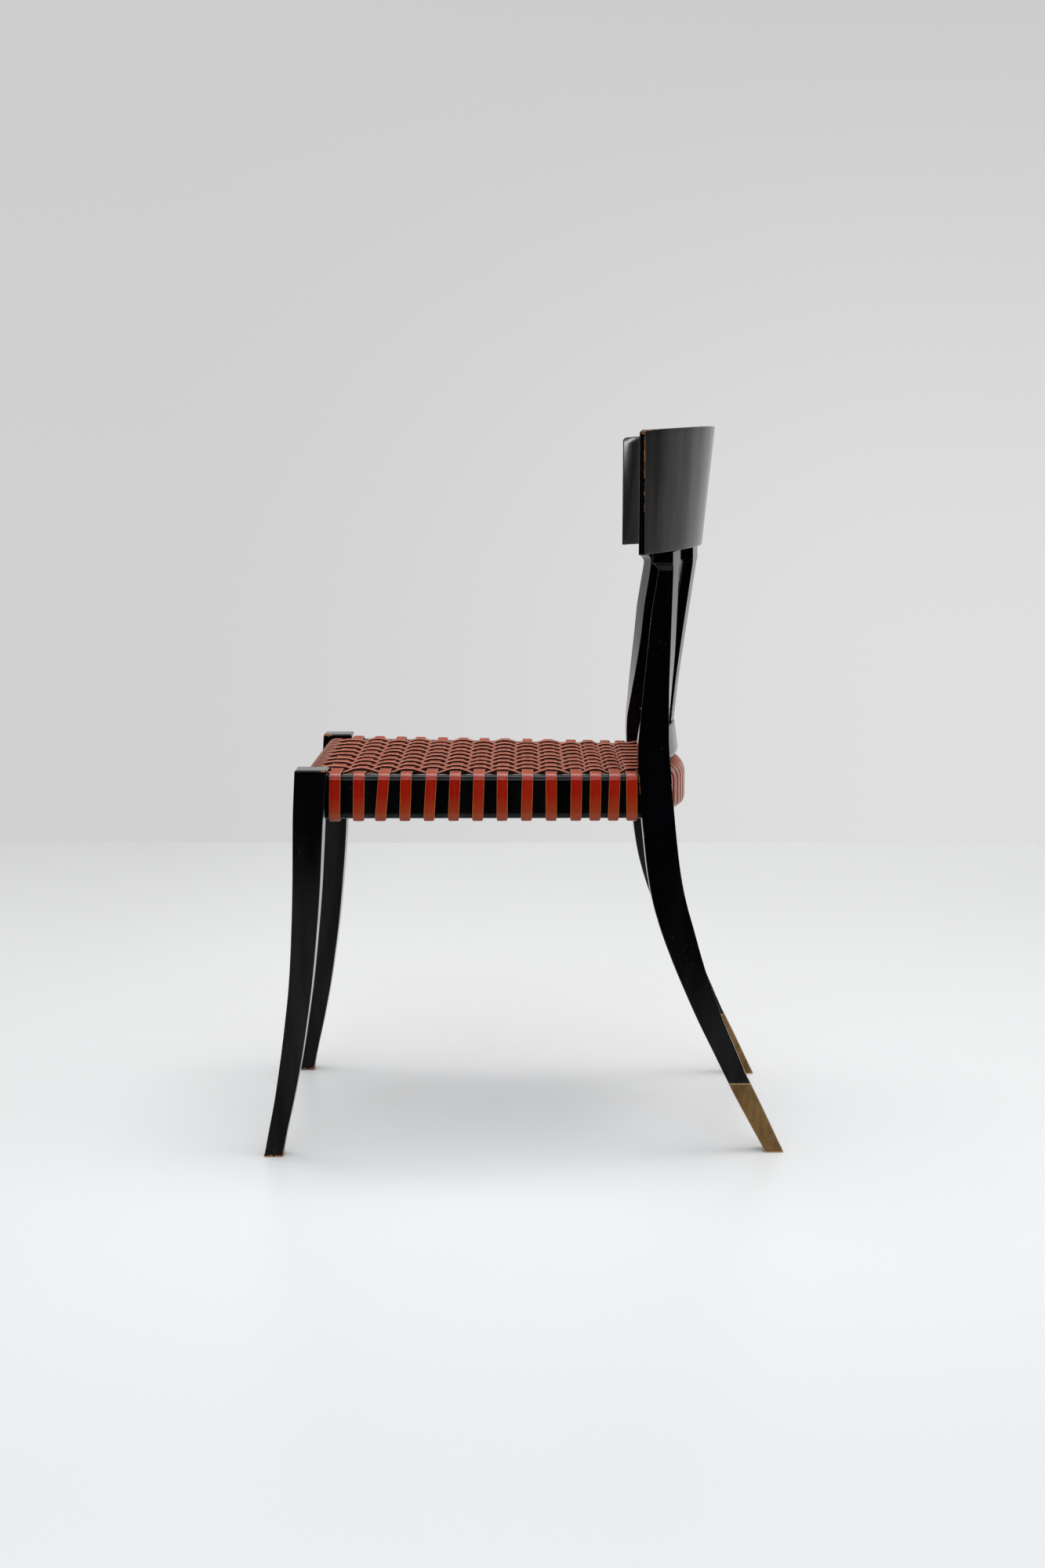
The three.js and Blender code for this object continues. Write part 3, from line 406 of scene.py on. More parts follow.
def add_piece(name, points, faces, material, attributes):
    """A mesh object of this chair, with attributes by name: numbers, or vectors of three."""
    mesh = bpy.data.meshes.new(name)
    mesh.from_pydata([tuple(c * MM for c in p) for p in points], [], faces)
    for key, values in attributes.items():
        if isinstance(values[0], tuple):
            layer = mesh.attributes.new(key, "FLOAT_VECTOR", "POINT")
            layer.data.foreach_set("vector", [c for value in values for c in value])
        else:
            mesh.attributes.new(key, "FLOAT", "POINT").data.foreach_set("value", values)
    mesh.polygons.foreach_set("use_smooth", [True] * len(mesh.polygons))
    mesh.materials.append(material)
    mesh.validate()
    return add_object(name, mesh)


def fit_out(piece, slot, *nodes):
    """Rides the piece on the root body, in place of its CAD nodes."""
    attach(piece, "root")
    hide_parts(*nodes)


def face_places(length):
    """Shares along a face where points go, with their wear, closest to the corners first."""
    near = [(min(distance, limit * length) / length, worn) for distance, limit, worn in FACE_INSETS]
    return near + [(1 - share, worn) for share, worn in reversed(near)]


def rounded_ring(corners, radius, steps=4):
    """Ring through rounded corners."""
    arcs = []
    for k, corner in enumerate(corners):
        before = (corners[k - 1] - corner).normalized()
        after = (corners[(k + 1) % len(corners)] - corner).normalized()
        half = before.angle(after) / 2
        centre = corner + (before + after).normalized() * (radius / math.sin(half))
        start = corner + before * (radius / math.tan(half)) - centre
        end = corner + after * (radius / math.tan(half)) - centre
        arcs.append([centre + start.slerp(end, s / steps) for s in range(steps + 1)])
    ring, wear = [], []
    for k, arc in enumerate(arcs):
        ring += arc
        wear += [1 - ROUND_END_FADE * abs(2 * s / steps - 1) for s in range(steps + 1)]
        following = arcs[(k + 1) % len(arcs)][0]
        for share, worn in face_places((following - arc[-1]).length):
            ring.append(arc[-1].lerp(following, share))
            wear.append(worn)
    return ring, wear


def volume_sign(points, faces):
    total = 0
    for face in faces:
        a = Vector(points[face[0]])
        for i in range(1, len(face) - 1):
            total += a.dot(Vector(points[face[i]]).cross(Vector(points[face[i + 1]])))
    return total


def loft(rings, ring_wear=None):
    """Points, faces and wear of a closed skin through rings; ring_wear adds wear to whole rings."""
    count = len(rings[0][0])
    points, wear = [], []
    for r, (ring, worn) in enumerate(rings):
        extra = ring_wear[r] if ring_wear else 0
        points += [tuple(p) for p in ring]
        wear += [max(w, extra) for w in worn]
    faces = []
    for r in range(len(rings) - 1):
        for k in range(count):
            a, b = r * count + k, r * count + (k + 1) % count
            faces.append((a, b, b + count, a + count))
    top = (len(rings) - 1) * count
    faces.append(tuple(range(count - 1, -1, -1)))
    faces.append(tuple(range(top, top + count)))
    if volume_sign(points, faces) < 0:
        faces = [tuple(reversed(face)) for face in faces]
    return points, faces, wear


def black_piece(name, node, rings, ring_wear=None, tune=None):
    """A lacquered piece lofted through rings; tune(point) scales its wear."""
    points, faces, wear = loft(rings, ring_wear)
    if tune:
        wear = [w * tune(p) for w, p in zip(wear, points)]
    piece = add_piece(name, points, faces, lacquer_material(), {"wear": wear})
    fit_out(piece, "black_lacquer", node)


def at_height(ring, height):
    points, wear = ring
    return [Vector((p.x, p.y, height)) for p in points], wear


def unworn(ring):
    return ring[0], [0] * len(ring[1])


def foot_round(ring_at, radius, steps=3):
    """Rings up a rounded bottom edge; ring_at(height, grow) gives a ring of the piece."""
    rings = []
    for turn in quarter_turns(steps):
        ring = ring_at(radius, -radius * (1 - math.sin(turn)))
        rings.append(at_height(ring, radius * (1 - math.cos(turn))))
    return rings


def top_round(ring_at, height, radius, steps):
    """Rings over a rounded top edge that starts at a height."""
    rings = []
    for turn in quarter_turns(steps)[1:]:
        ring = ring_at(height, -radius * (1 - math.cos(turn)))
        rings.append(at_height(ring, height + radius * math.sin(turn)))
    return rings


# Front legs


def front_leg_ring(height, side, grow, radius):
    share = min(max(height / FRONT_LEG_HEIGHT, 0), 1)
    front = TOE_X + FRONT_LEG_SWEEP * table_value(FRONT_LEG_SHARES, share, 1)
    depth = lerp(TOE_DEPTH, FRONT_LEG_DEPTH, table_value(FRONT_LEG_SHARES, share, 2))
    width = lerp(TOE_WIDTH, FRONT_LEG_WIDTH, table_value(FRONT_LEG_SHARES, share, 3))
    back = front + depth + grow
    outer = FRONT_WIDTH / 2 + grow
    inner = FRONT_WIDTH / 2 - width - grow
    front -= grow
    corners = [(front, outer), (back, outer), (back, inner), (front, inner)]
    return rounded_ring([Vector((x, side * y, height)) for x, y in corners], radius)


def knocked(p):
    """Share of wear at a point of a front leg."""
    post_top = smooth_step((p[2] - FRONT_LEG_HEIGHT + KNOCKED_HEIGHT) / KNOCKED_HEIGHT)
    above_foot = smooth_step(p[2] / KNOCKED_HEIGHT)
    return max(lerp(LEG_WEAR, KNOCKED_POST_WEAR, post_top), lerp(KNOCKED_FOOT_WEAR, LEG_WEAR, above_foot))


def front_leg(name, side):
    radius = arris_radius()
    rings = foot_round(lambda h, grow: front_leg_ring(h, side, grow, radius * FOOT_ARRIS_SHARE), FOOT_ROUND)
    worn = [1] * len(rings)
    post_round = radius * POST_ROUND_SHARE
    shoulder = FRONT_LEG_HEIGHT - post_round
    for height in spaced(FOOT_ROUND, shoulder, FRONT_LEG_STEP)[1:]:
        rings.append(front_leg_ring(height, side, 0, radius))
        foot_wear = FOOT_WEAR * max(1 - height / FOOT_WORN_HEIGHT, 0)
        worn.append(foot_wear + POST_WEAR * max(1 - (shoulder - height) / POST_WORN_HEIGHT, 0))
    over = top_round(lambda h, grow: front_leg_ring(h, side, grow, radius), shoulder, post_round, 5)
    rings += over
    worn += [1] * len(over)
    for inset, wear in POST_FLAT:
        rings.append(at_height(front_leg_ring(shoulder, side, -inset, radius), FRONT_LEG_HEIGHT))
        worn.append(wear)
    rings[-1] = unworn(rings[-1])
    black_piece(f"sabre_front_leg_{name}", f"front_leg_{name}", rings, worn, knocked)


# Rear legs, which run on as the stiles of the back


def head_share(height, drop, cove):
    below = (CREST_BOTTOM - drop - height) / cove
    return 1 if below <= 0 else table_value(COVE_SHARES, min(below, 1), 1)


def rear_leg_corners(height, side, grow):
    """Corners at a height: outer front, outer back, inner back, inner front."""
    if height <= RAIL_TOP:
        share = height / RAIL_TOP
    else:
        share = 1 + (height - RAIL_TOP) / BACK_HEIGHT
    back = HEEL_X - REAR_LEG_SWEEP * table_value(REAR_LEG_SHARES, share, 1)
    depth = REAR_LEG_DEPTH * table_value(REAR_LEG_SHARES, share, 2)
    width = REAR_LEG_WIDTH * table_value(REAR_LEG_SHARES, share, 3)
    twist = STILE_TWIST * table_value(REAR_LEG_SHARES, share, 4)
    outer = lerp(HEEL_WIDTH, STILE_TOP_WIDTH, height / CREST_BOTTOM) / 2
    head = head_share(height, HEAD_DROP, HEAD_COVE)
    inward = Vector((math.sin(twist), -side * math.cos(twist), 0))
    outer_front = Vector((back - depth, side * outer, height))
    front_grow = grow + HEAD_DEPTH_GROWTH * head
    side_grow = grow + HEAD_SIDE_GROWTH * head

    def place(to_back, to_inside):
        return outer_front + Vector((to_back, 0, 0)) + inward * to_inside

    return [place(-front_grow, -side_grow), place(depth + grow, -side_grow),
            place(depth + grow, width + side_grow), place(-front_grow, width + side_grow)]


def rear_leg_ring(height, side, grow, radius):
    return rounded_ring(rear_leg_corners(height, side, grow), radius)


def crest_underside(y):
    share = y / CREST_HALF
    return CREST_BOTTOM + CREST_ARCH_BOTTOM * (1 - share * share)


def moulded_head(ring_at, drop, cove):
    """Rings and wear of a cove and its head, whose top follows the arched underside of the crest.

    ring_at(height, share) gives a ring, where share is 1 at the foot of the cove and 0 at the head."""
    base = CREST_BOTTOM - drop
    rings = [ring_at(base - cove * share, share) for share, _ in COVE_RING_SHARES]
    ring, wear = ring_at(base, 0)
    for share, _ in HEAD_RING_SHARES:
        lifted = [Vector((p.x, p.y, lerp(base, crest_underside(p.y) - FIT_GAP, share))) for p in ring]
        rings.append((lifted, wear))
    return rings, [worn for _, worn in COVE_RING_SHARES + HEAD_RING_SHARES]


def rear_leg(name, side):
    radius = arris_radius()
    core = -(SABOT_WALL + FIT_GAP)
    shoulder = SABOT_HEIGHT + FIT_GAP
    core_heights = spaced(SABOT_FLOOR + FIT_GAP, SABOT_HEIGHT, CORE_STEP)
    rings = [rear_leg_ring(height, side, core, CORE_ROUND) for height in core_heights]
    rings.append(at_height(rear_leg_ring(shoulder, side, core, CORE_ROUND), shoulder))
    rings.append(at_height(rear_leg_ring(shoulder, side, -SHOULDER_ROUND, radius), shoulder))
    rings.append(rear_leg_ring(shoulder + SHOULDER_ROUND, side, 0, radius))
    worn = [0] * (len(rings) - len(SHOULDER_WEAR)) + SHOULDER_WEAR
    neck = CREST_BOTTOM - HEAD_DROP - HEAD_COVE
    heights = spaced(shoulder + SHOULDER_ROUND, neck, REAR_LEG_STEP)[1:]
    rings += [rear_leg_ring(height, side, 0, radius) for height in heights]
    worn += [0] * len(heights)

    def head_ring(height, share):
        return rear_leg_ring(height, side, 0, lerp(radius, radius * HEAD_ARRIS_SHARE, 1 - share))

    head, head_wear = moulded_head(head_ring, HEAD_DROP, HEAD_COVE)
    black_piece(f"sabre_rear_leg_{name}", f"rear_leg_{name}", rings + head, worn + head_wear,
                lambda p: LEG_WEAR)


def sabot(name, side):
    """A brass shoe: up its outside, over its lip and down its inside to the floor."""
    radius = arris_radius()
    lip = SABOT_HEIGHT - SABOT_LIP

    def foot(height, grow):
        return rear_leg_ring(height, side, grow, radius * SABOT_FOOT_ARRIS_SHARE)

    def outside(height, grow):
        return rear_leg_ring(height, side, grow, radius * SABOT_ARRIS_SHARE)

    rings = foot_round(foot, SABOT_LIP)
    rings += [outside(height, 0) for height in spaced(SABOT_LIP, lip, SABOT_STEP)[1:]]
    rings += top_round(outside, lip, SABOT_LIP, 3)
    inside = spaced(SABOT_HEIGHT, SABOT_FLOOR, CORE_STEP)
    rings += [rear_leg_ring(height, side, -SABOT_WALL, CORE_ROUND) for height in inside]
    heights = [ring[0].z for ring, _ in rings]
    worn = [int(z < SABOT_RUBBED_FOOT or z > SABOT_HEIGHT - SABOT_RUBBED_LIP) for z in heights]
    points, faces, wear = loft(rings, worn)
    piece = add_piece(f"brass_sabot_{name}", points, faces, brass_material(), {"wear": wear})
    fit_out(piece, "aged_brass", f"rear_sabot_{name}")


# Crest rail


def crest_point(along, up, through):
    """A point of the board: along from -1 to 1, up from 0 to 1, through from the outer face to the inner."""
    radius = lerp(CREST_RADIUS_BOTTOM, CREST_RADIUS_TOP, up)
    turn = along * math.asin(CREST_HALF / radius)
    thickness = lerp(CREST_THICKNESS, CREST_END_THICKNESS, min(along * along, 1))
    crown = HEEL_X - CREST_REACH + CREST_LEAN * up
    reach = radius - thickness * through
    y = reach * math.sin(turn)
    share = y / CREST_HALF
    arch = lerp(CREST_ARCH_BOTTOM, CREST_ARCH_TOP, up) * (1 - share * share)
    return Vector((crown - radius + reach * math.cos(turn), y, CREST_BOTTOM + CREST_HEIGHT * up + arch))


def crest_ring(along, inset, radius):
    from_end = (1 - abs(along)) * CREST_HALF
    drop = 0
    if from_end < CREST_END_ROUND:
        rest = CREST_END_ROUND - from_end
        drop = CREST_END_ROUND - math.sqrt(CREST_END_ROUND ** 2 - rest * rest)
    low = inset / CREST_HEIGHT
    high = 1 - (drop + inset) / CREST_HEIGHT
    near = inset / CREST_THICKNESS
    corners = [crest_point(along, low, near), crest_point(along, low, 1 - near),
               crest_point(along, high, 1 - near), crest_point(along, high, near)]
    return rounded_ring(corners, radius, 5)


def crest_end(side, last, radius):
    """Rings and wear of one rounded end of the board, going outwards."""
    rings, worn = [], []
    for turn in quarter_turns(5)[1:]:
        place = side * (last + CREST_EDGE * math.sin(turn) / CREST_HALF)
        ring, wear = crest_ring(place, CREST_EDGE * (1 - math.cos(turn)), radius * CREST_END_ARRIS_SHARE)
        rings.append((ring, [w * math.cos(turn) for w in wear]))
        worn.append(math.sin(2 * turn))
    flat = crest_ring(side, CREST_EDGE + CREST_FLAT_INSET, radius * CREST_FLAT_ARRIS_SHARE)
    rings.append(unworn(flat))
    return rings, worn + [0]


def crest_depth(p):
    """How far through the board a point lies, from 0 on its outer face to 1 on its inner face."""
    up = (p[2] - CREST_BOTTOM) / CREST_HEIGHT
    radius = lerp(CREST_RADIUS_BOTTOM, CREST_RADIUS_TOP, up)
    centre = HEEL_X - CREST_REACH + CREST_LEAN * up - radius
    return (radius - math.hypot(p[0] - centre, p[1])) / CREST_END_THICKNESS


def rubbed_by_hands(p, depth):
    """Share of wear: at the ends the outer top arris is rubbed most, and the rest of the crest less."""
    up = (p[2] - CREST_BOTTOM) / CREST_HEIGHT
    from_end = CREST_HALF - abs(p[1])
    near_end = smooth_step((CREST_WEAR_FROM - from_end) / (CREST_WEAR_FROM - CREST_WEAR_TO))
    most = lerp(CREST_END_BOTTOM_WEAR, CREST_END_TOP_WEAR, up)
    if depth >= 0.5:
        most *= CREST_INNER_WEAR_SHARE
    return lerp(CREST_WEAR, most, near_end)


def crest():
    radius = arris_radius()
    last = 1 - CREST_EDGE / CREST_HALF
    places = spaced(-last, last, CREST_STEP_SHARE)
    for share in CREST_CORNER_SHARES:
        place = 1 - CREST_END_ROUND * share / CREST_HALF
        places += [-place, place]
    rings = [crest_ring(place, 0, radius) for place in sorted(places)]
    left, left_wear = crest_end(-1, last, radius)
    right, right_wear = crest_end(1, last, radius)
    end_wear = left_wear[::-1] + [0] * len(rings) + right_wear
    points, faces, wear = loft(left[::-1] + rings + right, end_wear)
    depths = [crest_depth(p) for p in points]
    wear = [w * rubbed_by_hands(p, depth) for w, p, depth in zip(wear, points, depths)]
    polish = [smooth_step((depth - CREST_POLISH_FROM) / (CREST_POLISH_TO - CREST_POLISH_FROM))
              for depth in depths]
    piece = add_piece("crest_board", points, faces, lacquer_material(), {"wear": wear, "polish": polish})
    fit_out(piece, "black_lacquer", "crest_rail")


# Slats


def slat_ring(height, side, radius):
    share = (height - SLAT_FOOT) / (CREST_BOTTOM - SLAT_FOOT)
    width = lerp(SLAT_WIDTH_BOTTOM, SLAT_WIDTH_TOP, share)
    back = HEEL_X - SLAT_FOOT_REACH + SLAT_LEAN * table_value(SLAT_LEAN_SHARES, share, 1)
    head = SLAT_HEAD_GROWTH * head_share(height, SLAT_HEAD_DROP, SLAT_HEAD_COVE)
    rearward = Vector((math.cos(SLAT_TWIST), side * math.sin(SLAT_TWIST), 0))
    inward = Vector((math.sin(SLAT_TWIST), -side * math.cos(SLAT_TWIST), 0))
    outer_back = Vector((back, side * (SLAT_SPACING + width) / 2, height))
    front = -SLAT_THICKNESS - head
    corners = [(front, -head), (0, -head), (0, width + head), (front, width + head)]
    return rounded_ring([outer_back + rearward * a + inward * b for a, b in corners], radius)


def slat(name, side):
    radius = arris_radius() * SLAT_ARRIS_SHARE
    neck = CREST_BOTTOM - SLAT_HEAD_DROP - SLAT_HEAD_COVE
    rings = [slat_ring(height, side, radius) for height in spaced(SLAT_FOOT + FIT_GAP, neck, SLAT_STEP)]
    worn = [0] * len(rings)
    head, head_wear = moulded_head(lambda height, share: slat_ring(height, side, radius),
                                   SLAT_HEAD_DROP, SLAT_HEAD_COVE)
    black_piece(f"stile_slat_{name}", f"back_slat_{name}", rings + head, worn + head_wear, lambda p: LEG_WEAR)


# Rails


def section_ring(section, rounds, put):
    """Ring of a rail's section (near, far, bottom, top) with four rounds, set in space by put(across, up)."""
    a0, a1, z0, z1 = section
    arcs = []
    for k, (a, z, da, dz) in enumerate([(a0, z0, 1, 1), (a1, z0, -1, 1), (a1, z1, -1, -1), (a0, z1, 1, -1)]):
        radius = rounds[k]
        turns = [QUARTER * (k + 2) + turn for turn in quarter_turns(RAIL_ROUND_STEPS)]
        arcs.append([(a + da * radius + radius * math.cos(turn), z + dz * radius + radius * math.sin(turn))
                     for turn in turns])
    ring, wear = [], []
    for k, arc in enumerate(arcs):
        ring += arc
        wear += [SHARP_WEAR if rounds[k] < SHARP_ROUND else ROUND_WEAR] * len(arc)
        following = arcs[(k + 1) % len(arcs)][0]
        for share, worn in face_places(math.dist(arc[-1], following)):
            ring.append((lerp(arc[-1][0], following[0], share), lerp(arc[-1][1], following[1], share)))
            wear.append(worn * RAIL_FACE_WEAR)
    return [put(a, z) for a, z in ring], wear


def rail(name, node, places, section, rounds, put):
    """A rail with one section all along; put(place, across, up) sets its points in space."""
    rings = []
    for place in places:
        rings.append(section_ring(section, rounds, lambda a, z: put(place, a, z)))
    black_piece(name, node, rings)


def front_leg_faces(height):
    ring, _ = front_leg_ring(height, 1, 0, SHARP_CORNER)
    xs, ys = [p.x for p in ring], [p.y for p in ring]
    return min(xs), max(xs), min(ys)


REAR_CLEAR_HALF = rear_leg_corners(RAIL_TOP, 1, 0)[2].y
BACK_RAIL_CROWN = HEEL_X - BACK_RAIL_REACH
LOWER_RAIL_CROWN = HEEL_X - LOWER_RAIL_REACH
POST_FRONT, POST_BACK, POST_INNER = front_leg_faces(RAIL_MIDDLE)
POST_REAR_EDGE = front_leg_faces(RAIL_TOP)[1]
STILE_FRONT = rear_leg_corners(RAIL_TOP, 1, 0)[0].x
FRONT_RAIL_FACE = POST_FRONT + FRONT_RAIL_RECESS
FRONT_RAIL_INNER = FRONT_RAIL_FACE + SEAT_RAIL_THICKNESS
SIDE_RAIL_FRONT_X = POST_BACK
SIDE_RAIL_REAR_X = rear_leg_corners(RAIL_MIDDLE, 1, 0)[0].x


def side_rail_share(x):
    return (x - SIDE_RAIL_FRONT_X) / (SIDE_RAIL_REAR_X - SIDE_RAIL_FRONT_X)


def side_rail_face(x):
    return lerp(FRONT_WIDTH / 2 - SIDE_RAIL_RECESS, SIDE_RAIL_REAR_WIDTH / 2, side_rail_share(x))


def rail_fall(x):
    return SIDE_RAIL_FALL * side_rail_share(x)


def back_rail_face(y):
    return BACK_RAIL_CROWN - bow_fall(y, BACK_RAIL_BOW, REAR_CLEAR_HALF)


def seat_rail(name, node, places, across, upper_rounds, put):
    """A rail of the seat frame, from its two faces and the rounds of its far and near top edges."""
    rail(name, node, places, (*across, RAIL_BOTTOM, RAIL_TOP),
         [RAIL_BOTTOM_ROUND, RAIL_BOTTOM_ROUND, *upper_rounds], put)


def side_rail(name, side):
    def put(x, a, z):
        return Vector((x, side * (side_rail_face(x) + a), z - rail_fall(x)))

    places = spaced(SIDE_RAIL_FRONT_X - RAIL_END_HIDDEN, SIDE_RAIL_REAR_X + SIDE_RAIL_REAR_HIDDEN, RAIL_STEP)
    seat_rail(f"seat_side_rail_{name}", f"side_rail_{name}", places, (-SEAT_RAIL_THICKNESS, 0),
              (RAIL_TOP_ROUND, RAIL_TOP_ROUND), put)


def front_rail():
    def put(y, a, z):
        return Vector((FRONT_RAIL_FACE + a, y, z))

    reach = POST_INNER + RAIL_END_HIDDEN
    places = spaced(-reach, reach, FRONT_RAIL_STEP)
    seat_rail("seat_front_rail", "front_rail", places, (0, SEAT_RAIL_THICKNESS),
              (FRONT_RAIL_INNER_ROUND, RAIL_TOP_ROUND), put)


def back_rail():
    def put(y, a, z):
        return Vector((back_rail_face(y) + a, y, z))

    reach = REAR_CLEAR_HALF + RAIL_END_HIDDEN
    places = spaced(-reach, reach, RAIL_STEP)
    seat_rail("seat_back_rail", "back_seat_rail", places, (-BACK_RAIL_THICKNESS, 0),
              (BACK_RAIL_TOP_ROUND, BACK_RAIL_INNER_ROUND), put)


def lower_rail():
    def put(y, a, z):
        tilt = LOWER_RAIL_TILT * (z - LOWER_RAIL_BOTTOM) / LOWER_RAIL_HEIGHT
        return Vector((LOWER_RAIL_CROWN - bow_fall(y, LOWER_RAIL_BOW, REAR_CLEAR_HALF) + a - tilt, y, z))

    reach = REAR_CLEAR_HALF + RAIL_END_HIDDEN
    rail("back_lower_rail", "lower_back_rail", spaced(-reach, reach, RAIL_STEP),
         (-LOWER_RAIL_THICKNESS, 0, LOWER_RAIL_BOTTOM, SLAT_FOOT),
         [LOWER_RAIL_ROUND, LOWER_RAIL_SOFT_ROUND, LOWER_RAIL_ROUND, LOWER_RAIL_ROUND], put)


# Straps


LapPoint = namedtuple("LapPoint", "inward height drawn down up")


def lap_point(inward, height):
    """A point of a strap's way round a rail: its distance in from the rail's outer face, its height, the
    share of the strap's width there, how far down the rail it is, and how far up on the seat."""
    drawn = 1 - LAP_TURN_DRAW * smooth_step((RAIL_BOTTOM + LAP_TURN_ABOVE - height) / LAP_TURN_HEIGHT)
    down = min(max((RAIL_TOP - height) / (RAIL_TOP - RAIL_BOTTOM), 0), 1)
    up = smooth_step((inward + SEAT_TURN_START) / SEAT_TURN_WIDTH) if height > RAIL_MIDDLE else 0
    return LapPoint(inward, height, drawn, down, up)


def lap_path(top_radius, rail_thickness, inner_radius, thickness):
    """Middle of a strap's thickness from its end under a rail, up its outer face and on to the seat."""
    stand = FIT_GAP + thickness / 2
    low, high = RAIL_BOTTOM_ROUND + stand, top_radius + stand
    low_centre, high_centre = RAIL_BOTTOM + RAIL_BOTTOM_ROUND, RAIL_TOP - top_radius
    path = [(a, RAIL_BOTTOM - stand) for a in spaced(STRAP_UNDERLAP, RAIL_BOTTOM_ROUND, LAP_END_STEP)]
    for turn in quarter_turns(LOW_TURN_STEPS)[1:]:
        path.append((RAIL_BOTTOM_ROUND - low * math.sin(turn), low_centre - low * math.cos(turn)))
    path += [(-stand, z) for z in spaced(low_centre, high_centre, LAP_FACE_STEP)[1:]]
    for turn in quarter_turns(HIGH_TURN_STEPS)[1:]:
        path.append((top_radius - high * math.cos(turn), high_centre + high * math.sin(turn)))
    over = spaced(top_radius, rail_thickness - inner_radius, LAP_TOP_STEP)[1:]
    path += [(a, RAIL_TOP + stand) for a in over]
    return [lap_point(a, z) for a, z in path]


def cross_places(width):
    """Places of the cross straps' middles, from the post to the stile."""
    first = POST_REAR_EDGE + STRAP_LEG_GAP + width / 2
    last = STILE_FRONT - STRAP_LEG_GAP - width / 2
    return [lerp(first, last, share) for share in CROSS_STRAP_SHARES]


def fan_half(x, places):
    """Half of the width that the long straps take up at a place along the seat."""
    share = (x - places[0]) / (places[-1] - places[0])
    return LONG_STRAP_FRONT_HALF * table_value(FAN_SHARES, share, 1)


def strap_lean(number, side):
    """How far a cross strap's end under a side rail lies behind its place on the seat."""
    return -STRAP_LEANS[number] if side < 0 else FAR_STRAP_LEAN * math.sin(number * FAR_LEAN_TURN)


def wave_at(place, crossings, phases):
    """Height share of a woven strap, from its share at each crossing: broad there, smooth between."""
    if place <= crossings[0]:
        return phases[0]
    for i in range(len(crossings) - 1):
        if place <= crossings[i + 1]:
            share = (place - crossings[i]) / (crossings[i + 1] - crossings[i])
            wave = math.sin(WEAVE_BREADTH * math.cos(math.pi * share)) / math.sin(WEAVE_BREADTH)
            return lerp(phases[i + 1], phases[i], (1 + wave) / 2)
    return phases[-1]


def strap(name, node, edges, seat, thickness, tone):
    """A band between the middles of its two edges; seat says how far up on the seat each station is."""
    rings, raw, lie, on_seat = [], [], [], []
    last = len(seat) - 1
    run = 0
    for i, (edge_a, edge_b) in enumerate(zip(*edges)):
        before, after = max(i - 1, 0), min(i + 1, last)
        along = (edges[0][after] + edges[1][after]) - (edges[0][before] + edges[1][before])
        out = along.cross(edge_b - edge_a).normalized()
        middle = (edge_a + edge_b) / 2
        half = (edge_b - edge_a) / 2
        run += (middle - previous).length if i else 0
        previous = middle
        ring = [middle + half * u + out * (thickness / 2 * v) for u, v, _ in STRAP_SECTION_SHARES]
        rings.append((ring, [0] * len(ring)))
        raw += [edge for _, _, edge in STRAP_SECTION_SHARES]
        lie += [(run * MM, u * half.length * MM, 0) for u, _, _ in STRAP_SECTION_SHARES]
        on_seat += [seat[i]] * len(ring)
    points, faces, _ = loft(rings)
    attributes = {"raw_edge": raw, "lie": lie, "on_seat": on_seat, "tone": [tone] * len(points)}
    piece = add_piece(name, points, faces, leather_material(), attributes)
    fit_out(piece, "red_leather", node)


def cross_strap(number, rng):
    width, thickness = strap_size()
    places = cross_places(width)
    place = places[number]
    lap = lap_path(RAIL_TOP_ROUND, SEAT_RAIL_THICKNESS, RAIL_TOP_ROUND, thickness)
    width *= 1 + rng.uniform(-WIDTH_SPREAD_SHARE, WIDTH_SPREAD_SHARE)
    crossings = [fan * fan_half(place, places) for fan in FANS]
    phases = [1 if (number + n) % 2 == 0 else -1 for n in range(LONG_STRAP_COUNT)]
    level = RAIL_TOP + FIT_GAP + thickness / 2
    start = side_rail_face(place) - SEAT_RAIL_THICKNESS + RAIL_TOP_ROUND
    end = crossings[-1] + width / 2 + CROSSING_MARGIN

    def height_at(y):
        woven = WEAVE_MIDDLE + CROSS_WEAVE_RISE * wave_at(y, crossings, phases)
        if abs(y) <= end:
            return woven
        return lerp(level, woven, smooth_step((start - abs(y)) / max(start - end, 1)))

    def round_rail(side, offset):
        points = []
        for p in lap:
            x = place + offset * p.drawn
            y = side * (side_rail_face(x) - p.inward)
            points.append(Vector((x + strap_lean(number, side) * p.down, y, p.height)))
        return points

    middle = spaced(start, -start, WEAVE_STEP)[1:-1]
    edges = []
    for offset in (-width / 2, width / 2):
        over = [Vector((place + offset, y, height_at(y))) for y in middle]
        points = round_rail(1, offset) + over + round_rail(-1, offset)[::-1]
        edges.append([p - Vector((0, 0, rail_fall(place + offset))) for p in points])
    ups = [p.up for p in lap]
    strap(f"strap_across_{number + 1:02d}", f"cross_strap_{number + 1:02d}", edges,
          ups + [1] * len(middle) + ups[::-1], thickness, rng.uniform(-1, 1))


